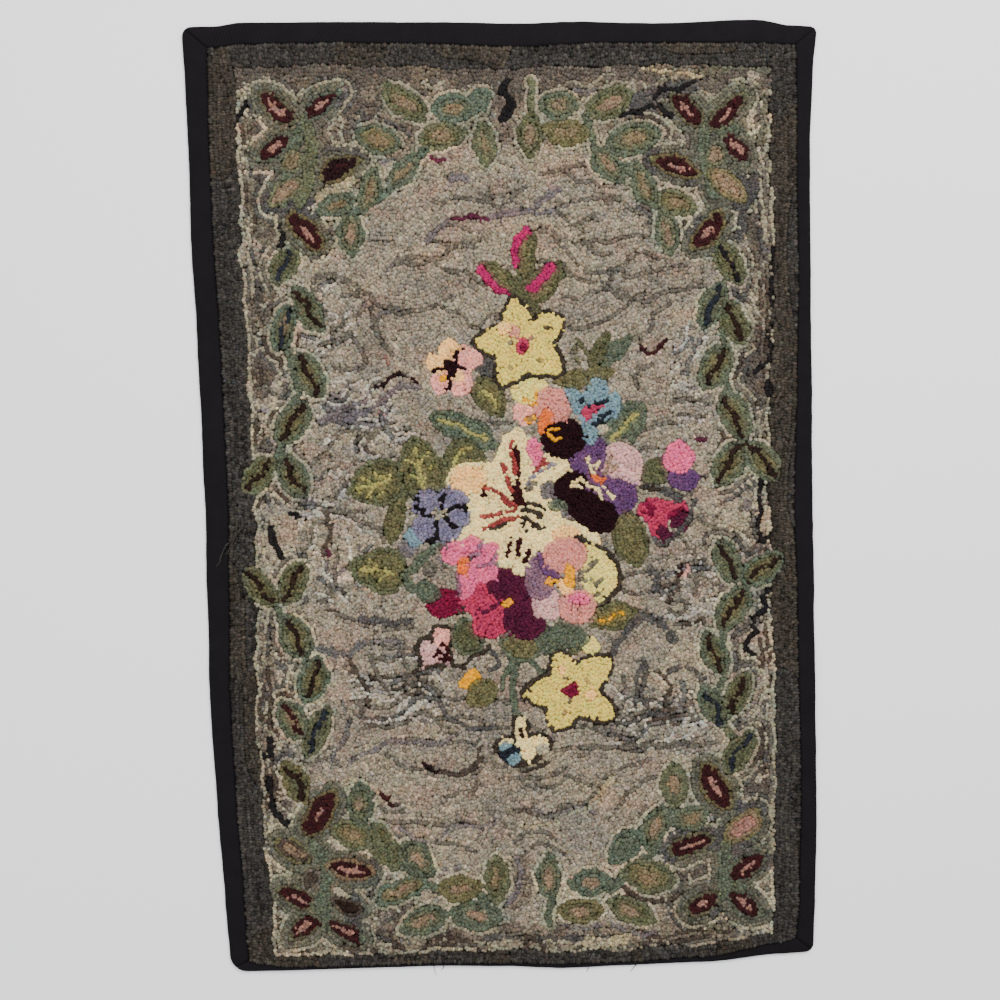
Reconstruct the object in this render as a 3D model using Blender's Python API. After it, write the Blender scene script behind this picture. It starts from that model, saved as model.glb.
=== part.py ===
"""A hooked rug with a taped edge, lying flat, face up.

The hooked field is one piece: a foundation cloth packed with loops on its face, with an unhooked
margin all round. Four lengths of twill tape are folded over that margin and meet in mitres.
The origin is the middle of the underside, +Y runs to the rug's top edge and +Z through its face.
"""

import math
from collections import namedtuple

import bmesh
import bpy
from mathutils import Vector

MM = 0.001

# Thicknesses and clearances, in millimetres.
FIELD_THICKNESS = 7.5  # back of the foundation to the tops of the loops
FIELD_ROUNDING = 2.0  # the outermost loops lean outwards and round the rim
TAPE_THICKNESS = 1.0
MARGIN_THICKNESS = 1.0  # the unhooked foundation inside the folded tape
SEAT_GAP = 0.3  # between pieces that touch
TAPE_CROWN = 0.5  # the tape swells over the margin between its two edges
SAMPLE_STEP = 14.0  # distance between the sections of the outline

# Heights of the layers that the tape is folded round.
MARGIN_BOTTOM = TAPE_THICKNESS + SEAT_GAP
MARGIN_TOP = MARGIN_BOTTOM + MARGIN_THICKNESS
TAPE_TOP = MARGIN_TOP + SEAT_GAP + TAPE_THICKNESS

# The rug's corners in millimetres from its middle. The lower edge is the shorter one.
Corner = namedtuple("Corner", "x y radius")
CORNERS = {
    "top_left": Corner(-317.0, 467.5, 9.0),
    "top_right": Corner(317.0, 468.0, 6.0),
    "bottom_right": Corner(314.0, -455.0, 8.0),
    "bottom_left": Corner(-267.5, -475.0, 16.0),
}

# Each side runs clockwise between two corners. A row is one place along it: its share of the side,
# how far the edge stands out from the straight line between the corners, and the tape's width in front.
Place = namedtuple("Place", "along bulge face")
Side = namedtuple("Side", "start end places")
SIDES = {
    "top": Side("top_left", "top_right", (
        Place(0.00, 0.0, 21.5),
        Place(0.05, 0.5, 21.5),
        Place(0.09, 4.5, 22.5),
        Place(0.25, 5.0, 22.0),
        Place(0.38, 4.8, 22.5),
        Place(0.53, 3.2, 24.5),
        Place(0.64, 5.2, 22.5),
        Place(0.75, 3.8, 20.5),
        Place(0.91, 6.8, 24.0),
        Place(0.96, 1.5, 20.0),
        Place(1.00, 0.0, 18.5),
    )),
    "right": Side("top_right", "bottom_right", (
        Place(0.00, 0.0, 21.5),
        Place(0.05, -3.5, 17.0),
        Place(0.13, -6.0, 14.0),
        Place(0.28, -5.0, 13.0),
        Place(0.38, -3.5, 15.5),
        Place(0.52, -2.6, 19.0),
        Place(0.62, -0.6, 17.5),
        Place(0.83, 2.5, 16.0),
        Place(0.93, 1.8, 16.5),
        Place(1.00, 0.0, 18.0),
    )),
    "bottom": Side("bottom_right", "bottom_left", (
        Place(0.00, 0.0, 14.5),
        Place(0.06, 1.0, 11.0),
        Place(0.18, 6.5, 6.0),
        Place(0.33, 7.3, 4.0),
        Place(0.42, 8.0, 4.5),
        Place(0.55, 3.6, 3.5),
        Place(0.66, 1.4, 3.2),
        Place(0.83, 1.0, 3.2),
        Place(0.90, 1.0, 4.0),
        Place(0.95, 0.5, 7.5),
        Place(1.00, 0.0, 10.5),
    )),
    "left": Side("bottom_left", "top_left", (
        Place(0.00, 0.0, 19.0),
        Place(0.08, 2.3, 20.0),
        Place(0.18, 5.2, 20.0),
        Place(0.29, 6.9, 21.0),
        Place(0.40, 3.8, 22.5),
        Place(0.50, 1.5, 24.0),
        Place(0.66, 0.7, 23.5),
        Place(0.76, 1.5, 22.5),
        Place(0.87, -0.7, 21.0),
        Place(0.94, -0.3, 23.5),
        Place(1.00, 0.0, 25.0),
    )),
}

# A fillet's middle lies this share of its radius in from each of the two sides it joins.
FILLET_MIDDLE = 1.0 - math.sqrt(0.5)

COLOURS = {
    "wool": ((0.30, 0.27, 0.23, 1.0), 0.95),
    "twill": ((0.012, 0.012, 0.015, 1.0), 0.85),
}


def clear_scene():
    """Empties the scene, whatever was open."""
    for thing in list(bpy.data.objects):
        bpy.data.objects.remove(thing)


def corner_point(name):
    corner = CORNERS[name]
    return Vector((corner.x, corner.y))


def side_axes(side):
    """The side's start, its direction, its length and the direction out of the rug."""
    start, end = corner_point(side.start), corner_point(side.end)
    direction = (end - start).normalized()
    outwards = Vector((-direction.y, direction.x))
    return start, direction, (end - start).length, outwards


def smooth_value(places, along, column):
    """The column's value at this share of the side, on a curve through the table's rows."""
    for before, after in zip(places, places[1:]):
        if along <= after.along:
            share = (along - before.along) / (after.along - before.along)
            eased = share * share * (3.0 - 2.0 * share)
            low, high = getattr(before, column), getattr(after, column)
            return low + (high - low) * eased
    return getattr(places[-1], column)


def fillet_inset(distance, radius):
    """How far a rounded corner draws the edge in, at a distance along the side from the corner."""
    if distance >= radius:
        return 0.0
    return radius - math.sqrt(radius**2 - (radius - distance) ** 2)


def inner_corner(name):
    """Where the inner edges of the two tapes at this corner cross."""
    before = next(side for side in SIDES.values() if side.end == name)
    after = next(side for side in SIDES.values() if side.start == name)
    out_a, out_b = side_axes(before)[3], side_axes(after)[3]
    face_a, face_b = before.places[-1].face, after.places[0].face
    cross = out_a.x * out_b.y - out_a.y * out_b.x
    step = Vector((
        (face_b * out_a.y - face_a * out_b.y) / cross,
        (face_a * out_b.x - face_b * out_a.x) / cross,
    ))
    return corner_point(name) + step


def outer_corner(name):
    """The middle of the rounding at this corner, where the outer edges of the two tapes meet."""
    before = next(side for side in SIDES.values() if side.end == name)
    after = next(side for side in SIDES.values() if side.start == name)
    inset = FILLET_MIDDLE * CORNERS[name].radius
    return corner_point(name) + (side_axes(after)[1] - side_axes(before)[1]) * inset


def turned_to_mitre(distance, reach):
    """How far a section's inner end moves along the side, this far from a mitre, to lie beside it."""
    fall = max(0.0, 1.0 - distance / (3.0 * reach))
    return reach * fall**2


def side_sections(side):
    """Pairs of points across the tape, outer then inner, from one mitre to the next."""
    start, direction, length, outwards = side_axes(side)
    first_radius, last_radius = CORNERS[side.start].radius, CORNERS[side.end].radius
    first_inner, last_inner = inner_corner(side.start), inner_corner(side.end)
    first = FILLET_MIDDLE * first_radius
    last = length - FILLET_MIDDLE * last_radius
    first_reach = (first_inner - start).dot(direction) - first
    last_reach = last - (last_inner - start).dot(direction)
    count = round((last - first) / SAMPLE_STEP)
    sections = []
    for i in range(count + 1):
        # The sections crowd a little towards the corners, where the edge is rounded.
        share = i / count - math.sin(2.0 * math.pi * i / count) / (2.6 * math.pi)
        distance = first + (last - first) * share
        inset = fillet_inset(distance, first_radius) + fillet_inset(length - distance, last_radius)
        bulge = smooth_value(side.places, distance / length, "bulge")
        face = smooth_value(side.places, distance / length, "face")
        inner_distance = distance + turned_to_mitre(distance - first, first_reach)
        inner_distance -= turned_to_mitre(last - distance, last_reach)
        outer = start + direction * distance + outwards * (bulge - inset)
        inner = start + direction * inner_distance + outwards * (bulge - face)
        sections.append((outer, inner))
    first_section = (outer_corner(side.start), first_inner)
    last_section = (outer_corner(side.end), last_inner)
    return [first_section, *sections[1:-1], last_section]


def middle_of_outline(sections_of):
    """The middle of the box that the rug's outer edge fills."""
    points = [outer for sections in sections_of.values() for outer, _ in sections]
    low = Vector((min(p.x for p in points), min(p.y for p in points)))
    high = Vector((max(p.x for p in points), max(p.y for p in points)))
    return (low + high) / 2.0


def centred_sections():
    """The sections of all four sides, about the middle of the rug."""
    found = {name: side_sections(side) for name, side in SIDES.items()}
    middle = middle_of_outline(found)
    return {
        name: [(outer - middle, inner - middle) for outer, inner in sections]
        for name, sections in found.items()
    }


def loop_inside_tape(sections_of, reach_of):
    """A closed outline, reach_of(width) of the way from the tape's inner edge towards its outer one."""
    points = []
    for sections in sections_of.values():
        for outer, inner in sections[:-1]:
            width = (outer - inner).length
            towards = (outer - inner).normalized()
            points.append(inner + towards * reach_of(width))
    return points


def finish_of(name):
    """The material with this name, made once."""
    found = bpy.data.materials.get(name)
    if found:
        return found
    colour, roughness = COLOURS[name]
    made = bpy.data.materials.new(name)
    made.use_nodes = True
    shader = made.node_tree.nodes["Principled BSDF"]
    shader.inputs["Base Color"].default_value = colour
    shader.inputs["Roughness"].default_value = roughness
    shader.inputs["Metallic"].default_value = 0.0
    made.diffuse_color = colour
    return made


def flat_slab(name, outline, bottom, top, home):
    """A slab of this outline between two heights, all in millimetres, as a welded mesh object."""
    curve = bpy.data.curves.new(name + "_outline", "CURVE")
    curve.dimensions = "2D"
    curve.fill_mode = "BOTH"
    curve.extrude = (top - bottom) / 2.0 * MM
    spline = curve.splines.new("POLY")
    spline.points.add(len(outline) - 1)
    for point, place in zip(spline.points, outline):
        point.co = (place.x * MM, place.y * MM, 0.0, 1.0)
    spline.use_cyclic_u = True
    drawn = bpy.data.objects.new(name + "_outline", curve)
    drawn.location.z = (top + bottom) / 2.0 * MM
    home.objects.link(drawn)
    bpy.context.view_layer.update()
    evaluated = drawn.evaluated_get(bpy.context.evaluated_depsgraph_get())
    mesh = bpy.data.meshes.new_from_object(evaluated)
    mesh.name = name
    slab = bpy.data.objects.new(name, mesh)
    slab.matrix_world = drawn.matrix_world
    home.objects.link(slab)
    bpy.data.objects.remove(drawn)
    shape = bmesh.new()
    shape.from_mesh(mesh)
    bmesh.ops.remove_doubles(shape, verts=shape.verts, dist=0.01 * MM)
    bmesh.ops.recalc_face_normals(shape, faces=shape.faces)
    shape.to_mesh(mesh)
    shape.free()
    return slab


def round_top_rim(slab, radius):
    """Rounds the upper edge of a slab, where the last row of loops leans out."""
    shape = bmesh.new()
    shape.from_mesh(slab.data)
    top = max(vertex.co.z for vertex in shape.verts)
    rim = [
        edge for edge in shape.edges
        if all(abs(vertex.co.z - top) < 0.01 * MM for vertex in edge.verts)
        and any(abs(face.normal.z) < 0.5 for face in edge.link_faces)
    ]
    bmesh.ops.bevel(
        shape, geom=rim, offset=radius * MM, segments=2, profile=0.5, affect="EDGES", clamp_overlap=True
    )
    shape.to_mesh(slab.data)
    shape.free()


def hooked_field(sections_of, home, helpers):
    """The foundation with its loops, and the thin margin that runs out inside the tape."""
    edge = loop_inside_tape(sections_of, lambda width: -SEAT_GAP)
    hem = loop_inside_tape(sections_of, lambda width: width - TAPE_THICKNESS - SEAT_GAP)
    field = flat_slab("hooked_field", edge, 0.0, FIELD_THICKNESS, home)
    round_top_rim(field, FIELD_ROUNDING)
    margin = flat_slab("margin_shape", hem, MARGIN_BOTTOM, MARGIN_TOP, helpers)
    margin.hide_render = True
    margin.display_type = "WIRE"
    join = field.modifiers.new("margin", "BOOLEAN")
    join.operation = "UNION"
    join.object = margin
    field.data.materials.clear()
    field.data.materials.append(finish_of("wool"))
    return field


def tape_profile(width):
    """The folded tape's section: (distance out from its inner edge, height), anticlockwise."""
    fold = width - TAPE_TOP / 2.0
    profile = [(0.0, 0.0), (fold, 0.0)]
    for degrees in (-45.0, 0.0, 45.0):
        turn = math.radians(degrees)
        out = fold + TAPE_TOP / 2.0 * math.cos(turn)
        profile.append((out, TAPE_TOP / 2.0 * (1.0 + math.sin(turn))))
    crown = TAPE_CROWN * min(1.0, width / 20.0)
    profile += [
        (fold, TAPE_TOP),
        (fold * 0.5, TAPE_TOP + crown),
        (0.0, TAPE_TOP),
        (0.0, TAPE_TOP - TAPE_THICKNESS),
        (width - TAPE_THICKNESS, TAPE_TOP - TAPE_THICKNESS),
        (width - TAPE_THICKNESS, TAPE_THICKNESS),
        (0.0, TAPE_THICKNESS),
    ]
    return profile


# The folded section's end, as convex parts: under leaf, fold, upper leaf. Numbers are the profile's points.
TAPE_END = (
    (0, 1, 10, 11),
    (1, 2, 10),
    (2, 3, 10),
    (3, 9, 10),
    (3, 4, 9),
    (4, 5, 9),
    (5, 6, 9),
    (6, 7, 8, 9),
)


def binding_strip(name, sections, direction, home):
    """One length of tape, lofted from mitre to mitre."""
    shape = bmesh.new()
    rings = []
    for i, (outer, inner) in enumerate(sections):
        # The two tapes at a mitre each give up half of the gap between them.
        ends = (i == 0) - (i == len(sections) - 1)
        shift = direction * (ends * SEAT_GAP * math.sqrt(0.5))
        width = (outer - inner).length
        towards = (outer - inner).normalized()
        ring = []
        for out, height in tape_profile(width):
            place = inner + towards * out + shift
            ring.append(shape.verts.new((place.x * MM, place.y * MM, height * MM)))
        rings.append(ring)
    points = len(rings[0])
    for ring, following in zip(rings, rings[1:]):
        for k in range(points):
            nxt = (k + 1) % points
            shape.faces.new((ring[k], ring[nxt], following[nxt], following[k]))
    for part in TAPE_END:
        shape.faces.new([rings[0][k] for k in reversed(part)])
        shape.faces.new([rings[-1][k] for k in part])
    bmesh.ops.triangulate(shape, faces=shape.faces)
    bmesh.ops.recalc_face_normals(shape, faces=shape.faces)
    mesh = bpy.data.meshes.new(name)
    shape.to_mesh(mesh)
    shape.free()
    mesh.shade_smooth()
    mesh.set_sharp_from_angle(angle=math.radians(50.0))
    mesh.materials.append(finish_of("twill"))
    strip = bpy.data.objects.new(name, mesh)
    home.objects.link(strip)
    return strip


def build_rug():
    """Makes the five pieces in a collection named for the rug."""
    clear_scene()
    home = bpy.data.collections.new("hooked_rug")
    helpers = bpy.data.collections.new("cutters")
    bpy.context.scene.collection.children.link(home)
    bpy.context.scene.collection.children.link(helpers)
    sections_of = centred_sections()
    hooked_field(sections_of, home, helpers)
    for name, sections in sections_of.items():
        direction = side_axes(SIDES[name])[1]
        binding_strip("binding_" + name, sections, direction, home)


build_rug()
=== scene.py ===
import math
from collections import namedtuple

import bpy
import numpy as np
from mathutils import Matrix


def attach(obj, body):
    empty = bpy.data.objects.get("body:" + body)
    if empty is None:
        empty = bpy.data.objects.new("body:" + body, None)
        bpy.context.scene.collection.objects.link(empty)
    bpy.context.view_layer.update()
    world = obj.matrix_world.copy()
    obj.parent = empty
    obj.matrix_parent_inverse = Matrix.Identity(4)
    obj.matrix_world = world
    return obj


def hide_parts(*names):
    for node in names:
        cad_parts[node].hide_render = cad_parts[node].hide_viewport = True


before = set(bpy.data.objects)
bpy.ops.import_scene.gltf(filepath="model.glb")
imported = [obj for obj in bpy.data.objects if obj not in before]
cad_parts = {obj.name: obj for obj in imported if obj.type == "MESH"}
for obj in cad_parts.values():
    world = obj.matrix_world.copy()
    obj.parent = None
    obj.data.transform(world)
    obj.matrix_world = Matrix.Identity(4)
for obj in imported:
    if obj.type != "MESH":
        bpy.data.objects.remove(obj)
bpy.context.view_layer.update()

# The drawn pattern
# The design as it is drawn on the cloth before hooking. It is a grid of cells: for each cell, the piece
# that it belongs to and the wool that fills it. What is drawn first lies in front.

MM = 0.001
CELL = 0.8  # mm between the cells of the drawing
GRID_ACROSS = 800
GRID_DOWN = 1196
SHEET_LEFT = 498.75  # mm from the left edge of the pattern sheet to the middle of the rug
SHEET_TOP = 495.55  # mm from the top edge of the pattern sheet to the middle of the rug
BARE = 0

SIDES = ("top", "right", "bottom", "left")
TAPE_FOLD_HEIGHT = 1.8  # mm, where the folded tape reaches furthest out
SAME_HEIGHT = 0.05  # mm by which points of one height may differ
FOLD_DEPTH = 2.3  # mm inwards, past the rounding of the fold
HOOK_GAP = 0.5  # mm between the tape's inner edge and the first loops

xs = (np.arange(GRID_ACROSS) - (GRID_ACROSS - 1) / 2.0) * CELL
ys = (np.arange(GRID_DOWN) - (GRID_DOWN - 1) / 2.0) * CELL
cells_x, cells_y = np.meshgrid(xs, ys)


def tape_edges(side):
    """The outer and the inner edge of this side's tape, as rows of points in mm."""
    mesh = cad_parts["binding_" + side].data
    points = np.empty(len(mesh.vertices) * 3)
    mesh.vertices.foreach_get("co", points)
    points = np.unique((points.reshape(-1, 3) / MM).round(2), axis=0)
    along = 0 if side in ("top", "bottom") else 1
    across = 1 - along
    outwards = 1.0 if side in ("top", "right") else -1.0
    outer = points[np.abs(points[:, 2] - TAPE_FOLD_HEIGHT) < SAME_HEIGHT]
    outer = outer[np.argsort(outer[:, along])]
    under = points[points[:, 2] < SAME_HEIGHT]
    edge_here = np.interp(under[:, along], outer[:, along], outer[:, across])
    depth = (edge_here - under[:, across]) * outwards
    inner = under[depth > FOLD_DEPTH]
    inner = inner[np.argsort(inner[:, along])]
    return outer[:, :2], inner[:, :2]


edges_of = {side: tape_edges(side) for side in SIDES}
OUTER, INNER = 0, 1


def edge_at(side, rail, at):
    """Where the outer or the inner edge of this side's tape lies at each place along it."""
    edge = edges_of[side][rail]
    along = 0 if side in ("top", "bottom") else 1
    return np.interp(at, edge[:, along], edge[:, 1 - along])


def inside_of(side, x, y):
    """How far points lie inside the inner edge of this side's tape."""
    gap = edge_at(side, INNER, x) - y if side in ("top", "bottom") else edge_at(side, INNER, y) - x
    return gap if side in ("top", "right") else -gap


inside = {side: inside_of(side, cells_x, cells_y) for side in SIDES}
hookable = np.minimum.reduce(list(inside.values())) > HOOK_GAP

owner = np.zeros((GRID_DOWN, GRID_ACROSS), np.int16)
wool_at = np.zeros((GRID_DOWN, GRID_ACROSS), np.int16)

# Every wool in the basket: its dye as red, green and blue from 0 to 255, how much its loops and its
# strips differ as shares of their brightness, and how much of the colours beside it each strip shares,
# because many of the strips are dipped in two dyes.
Wool = namedtuple("Wool", "red green blue loop_spread strip_spread dip")
WOOLS = {
    "none": Wool(90, 84, 76, 0.0, 0.0, 0.0),
    "oatmeal": Wool(133, 122, 105, 0.11, 0.05, 0.3),
    "cream_line": Wool(153, 143, 119, 0.08, 0.05, 0.2),
    "pale_sage": Wool(134, 131, 110, 0.09, 0.05, 0.3),
    "pale_grey": Wool(164, 156, 141, 0.08, 0.05, 0.2),
    "straw": Wool(150, 137, 106, 0.09, 0.06, 0.3),
    "sage_grey": Wool(81, 80, 68, 0.10, 0.07, 0.4),
    "stone": Wool(88, 82, 72, 0.10, 0.07, 0.2),
    "slate": Wool(70, 67, 64, 0.10, 0.08, 0.2),
    "lavender_grey": Wool(95, 87, 87, 0.09, 0.06, 0.3),
    "blue_grey": Wool(86, 84, 81, 0.09, 0.06, 0.2),
    "bark": Wool(64, 55, 47, 0.10, 0.08, 0.1),
    "black": Wool(25, 22, 23, 0.12, 0.08, 0.0),
    "border_charcoal": Wool(51, 48, 45, 0.15, 0.08, 0.3),
    "border_brown": Wool(54, 49, 43, 0.15, 0.08, 0.3),
    "teal": Wool(77, 83, 68, 0.10, 0.05, 0.6),
    "blue_teal": Wool(77, 86, 73, 0.10, 0.05, 0.5),
    "sage": Wool(83, 85, 64, 0.10, 0.05, 0.6),
    "moss": Wool(76, 76, 54, 0.09, 0.05, 0.5),
    "olive": Wool(91, 86, 59, 0.09, 0.05, 0.5),
    "ochre": Wool(113, 96, 72, 0.08, 0.05, 0.5),
    "tan_pink": Wool(122, 101, 81, 0.08, 0.05, 0.5),
    "rose_tan": Wool(134, 97, 86, 0.09, 0.05, 0.1),
    "vein_brown": Wool(37, 25, 20, 0.10, 0.06, 0.0),
    "maroon": Wool(46, 19, 21, 0.10, 0.06, 0.0),
    "yellow": Wool(204, 182, 91, 0.04, 0.02, 0.15),
    "pale_yellow": Wool(214, 196, 110, 0.04, 0.02, 0.2),
    "vein_yellow": Wool(148, 140, 80, 0.06, 0.04, 0.25),
    "cream": Wool(227, 204, 140, 0.04, 0.02, 0.2),
    "peach": Wool(232, 182, 114, 0.04, 0.03, 0.4),
    "gold": Wool(212, 146, 18, 0.05, 0.03, 0.1),
    "orange": Wool(206, 100, 46, 0.05, 0.03, 0.3),
    "pale_pink": Wool(216, 150, 136, 0.04, 0.03, 0.3),
    "blush": Wool(192, 124, 112, 0.04, 0.03, 0.4),
    "pink": Wool(205, 92, 124, 0.05, 0.03, 0.25),
    "rose": Wool(158, 50, 76, 0.05, 0.04, 0.15),
    "magenta": Wool(150, 34, 80, 0.06, 0.04, 0.2),
    "crimson": Wool(102, 23, 47, 0.07, 0.04, 0.1),
    "plum": Wool(70, 24, 43, 0.08, 0.05, 0.1),
    "aubergine": Wool(31, 15, 18, 0.08, 0.05, 0.0),
    "purple": Wool(84, 55, 88, 0.06, 0.04, 0.2),
    "mauve": Wool(114, 85, 98, 0.06, 0.04, 0.3),
    "lilac_pink": Wool(192, 149, 142, 0.05, 0.03, 0.4),
    "periwinkle": Wool(106, 100, 119, 0.06, 0.04, 0.2),
    "sky": Wool(103, 126, 133, 0.05, 0.03, 0.3),
    "navy": Wool(32, 35, 41, 0.09, 0.06, 0.0),
    "brick": Wool(124, 50, 50, 0.08, 0.05, 0.1),
    "outline_brown": Wool(52, 45, 38, 0.10, 0.06, 0.0),
}
WOOL_NAMES = list(WOOLS)
wool_columns = Wool(*np.array(list(WOOLS.values()), np.float32).T)
wool_dyes = np.stack(wool_columns[:3], 1)


def lattice_noise(x, y, size_x, size_y, seed):
    """Smooth noise from -1 to 1 whose bumps are about this size in mm."""
    table = np.random.default_rng(seed).uniform(-1.0, 1.0, (64, 64))
    u, v = x / size_x, y / size_y
    column, row = np.floor(u).astype(int), np.floor(v).astype(int)
    u, v = u - column, v - row
    u, v = u * u * (3.0 - 2.0 * u), v * v * (3.0 - 2.0 * v)
    low = table[row % 64, column % 64] * (1 - u) + table[row % 64, (column + 1) % 64] * u
    high = table[(row + 1) % 64, column % 64] * (1 - u) + table[(row + 1) % 64, (column + 1) % 64] * u
    return low * (1 - v) + high * v


def rug_noise(size_x, size_y, seed):
    """Smooth noise from -1 to 1 at every cell of the drawing."""
    return lattice_noise(cells_x, cells_y, size_x, size_y, seed)


def drift(seed):
    """How far a hooker strays from the drawn line, in mm: slow bends and the raggedness of loops."""
    return rug_noise(15.0, 15.0, seed) * 2.2 + rug_noise(4.6, 4.6, seed + 1) * 1.5


drift_right, drift_up = drift(901), drift(903)


def window(across, down, reach):
    """The cells within reach of a point on the sheet, and how far right of and above it each lies."""
    x, y = across - SHEET_LEFT, SHEET_TOP - down
    left, right = np.searchsorted(xs, (x - reach, x + reach))
    low, high = np.searchsorted(ys, (y - reach, y + reach))
    part = (slice(low, high), slice(left, right))
    return part, cells_x[part] + drift_right[part] - x, cells_y[part] + drift_up[part] - y


def turned(right, up, lean):
    """Distances along and across a direction that leans this many degrees up from the right."""
    angle = math.radians(lean)
    along = right * math.cos(angle) + up * math.sin(angle)
    across = up * math.cos(angle) - right * math.sin(angle)
    return along, across


def draw(part, mask, piece, wool):
    """Draws onto cells that are still bare, so what is drawn first lies in front."""
    free = mask & (owner[part] == BARE) & hookable[part]
    owner[part][free] = piece
    wool_at[part][free] = WOOL_NAMES.index(wool)


def draw_oval(piece, wool, across, down, length, width, lean=0.0, square=2.2):
    """A rounded patch. A squareness of 2 is an ellipse, and more has fuller corners."""
    part, right, up = window(across, down, 0.5 * math.hypot(length, width) + 5.0)
    along, beside = turned(right, up, lean)
    shape = np.abs(along / (0.5 * length)) ** square + np.abs(beside / (0.5 * width)) ** square
    draw(part, shape < 1.0, piece, wool)


def draw_line(piece, wool, points, width):
    """A line of loops through points on the sheet."""
    for (across_a, down_a), (across_b, down_b) in zip(points, points[1:]):
        reach = 0.5 * math.hypot(across_b - across_a, down_b - down_a) + width + 3.0
        part, right, up = window(0.5 * (across_a + across_b), 0.5 * (down_a + down_b), reach)
        run = np.array((across_b - across_a, down_a - down_b))
        half = 0.5 * np.linalg.norm(run)
        along = (right * run[0] + up * run[1]) / (2.0 * half)
        beside = (up * run[0] - right * run[1]) / (2.0 * half)
        beyond = np.maximum(np.abs(along) - half, 0.0)
        draw(part, beyond**2 + beside**2 < (0.5 * width) ** 2, piece, wool)


def distance_inwards(kinds, reach):
    """How far in mm each cell lies from the nearest cell of another kind, up to reach."""
    edge = np.zeros(kinds.shape, bool)
    across = kinds[:, 1:] != kinds[:, :-1]
    along = kinds[1:] != kinds[:-1]
    edge[:, 1:] |= across
    edge[:, :-1] |= across
    edge[1:] |= along
    edge[:-1] |= along
    rows = np.arange(kinds.shape[0], dtype=np.float32)[:, None]
    above = np.maximum.accumulate(np.where(edge, rows, -9999.0), axis=0)
    below = np.minimum.accumulate(np.where(edge, rows, 9999.0)[::-1], axis=0)[::-1]
    in_column = np.minimum(np.minimum(rows - above, below - rows), reach / CELL).astype(np.float32) ** 2
    nearest = in_column.copy()
    for step in range(1, int(reach / CELL) + 1):
        nearest[:, step:] = np.minimum(nearest[:, step:], in_column[:, :-step] + step * step)
        nearest[:, :-step] = np.minimum(nearest[:, :-step], in_column[:, step:] + step * step)
    return (np.sqrt(nearest) + 0.5) * CELL


# The bouquet's loops
# Flowers, buds and their leaves in wool, hooked before anything else because they lie in front. Each
# colour is outlined with a row of loops and filled towards its middle.

BOUQUET = 1
Patch = namedtuple("Patch", "wool across down length width lean")
Line = namedtuple("Line", "wool width points")
MIDDLE = 99.0  # mm, deeper than the middle of any leaf


def draw_patches(piece, patches):
    for patch in patches:
        draw_oval(piece, *patch)


def draw_lines(piece, lines):
    for line in lines:
        draw_line(piece, line.wool, line.points, line.width)


def draw_leaf(piece, across, down, length, width, lean, layers, vein=None, vein_share=0.78):
    """A pointed leaf. Its layers are (depth, wool) from the outline inwards to its middle."""
    part, right, up = window(across, down, 0.5 * length + 5.0)
    along, beside = turned(right, up, lean)
    share = np.clip(np.abs(along) / (0.5 * length), 0.0, 1.0)
    half_width = 0.5 * width * (1.0 - share**2.2) ** 0.8
    depth = np.minimum(half_width - np.abs(beside), 0.62 * (0.5 * length - np.abs(along)))
    inside_leaf = depth > 0.0
    if vein:
        bend = 1.6 * np.sin(along * 0.22 + down)
        on_vein = (np.abs(beside - bend) < 2.3) & (share < vein_share)
        draw(part, inside_leaf & on_vein, piece, vein)
    for reach, wool in layers:
        draw(part, inside_leaf & (depth < reach), piece, wool)


def draw_heart_leaf(piece, across, down, length, width, lean, vein):
    """A broad leaf with a notch at its stem. It points along lean and has a branched, mottled vein."""
    part, right, up = window(across, down, 0.5 * max(length, width) + 6.0)
    along, beside = turned(right, up, lean)
    share = np.clip(0.5 + along / length, 0.0, 1.0)
    half_width = 0.5 * width * np.sin(math.pi * share**0.62) ** 0.62
    depth = np.minimum(half_width - np.abs(beside), length * (1.0 - share) * 0.7 + 0.5)
    depth = np.minimum(depth, 2.6 * (share * length - 4.0 + np.abs(beside) * 0.7))
    middle = (np.abs(beside) < 1.9) & (share > 0.16) & (share < 0.80)
    barbs = np.abs(np.abs(beside) - (along + 0.26 * length)) < 2.0
    barbs |= np.abs(np.abs(beside) - (along + 0.02 * length)) < 1.8
    barbs &= lattice_noise(right, up, 9.0, 9.0, int(across)) > -0.35
    veined = (middle | (barbs & (np.abs(beside) < 0.25 * width))) & (depth > 6.0)
    mottle = lattice_noise(right, up, 7.0, 7.0, int(down)) > 0.25
    draw(part, veined, piece, vein)
    draw(part, (depth > 0.0) & (depth < 4.0), piece, "sage")
    draw(part, (depth > 0.0) & ((depth < 7.6) | mottle), piece, "moss")
    draw(part, depth > 0.0, piece, "olive")


def draw_star(piece, across, down, lobes, wool, outline):
    """A flower of blunt lobes with one dark row round it. Each lobe is its lean, reach and breadth."""
    part, right, up = window(across, down, 62.0)
    for rim, filling in ((0.0, wool), (3.7, outline)):
        for lean, reach, breadth in lobes:
            along, beside = turned(right, up, lean)
            share = np.clip(along / (reach + rim), 0.0, 1.0)
            half_width = (0.5 * breadth + rim) * (1.0 - share**3.6) ** 0.85
            lobe = (np.abs(beside) < half_width) & (along > 0.0) & (along < reach + rim)
            draw(part, lobe, piece, filling)


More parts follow.
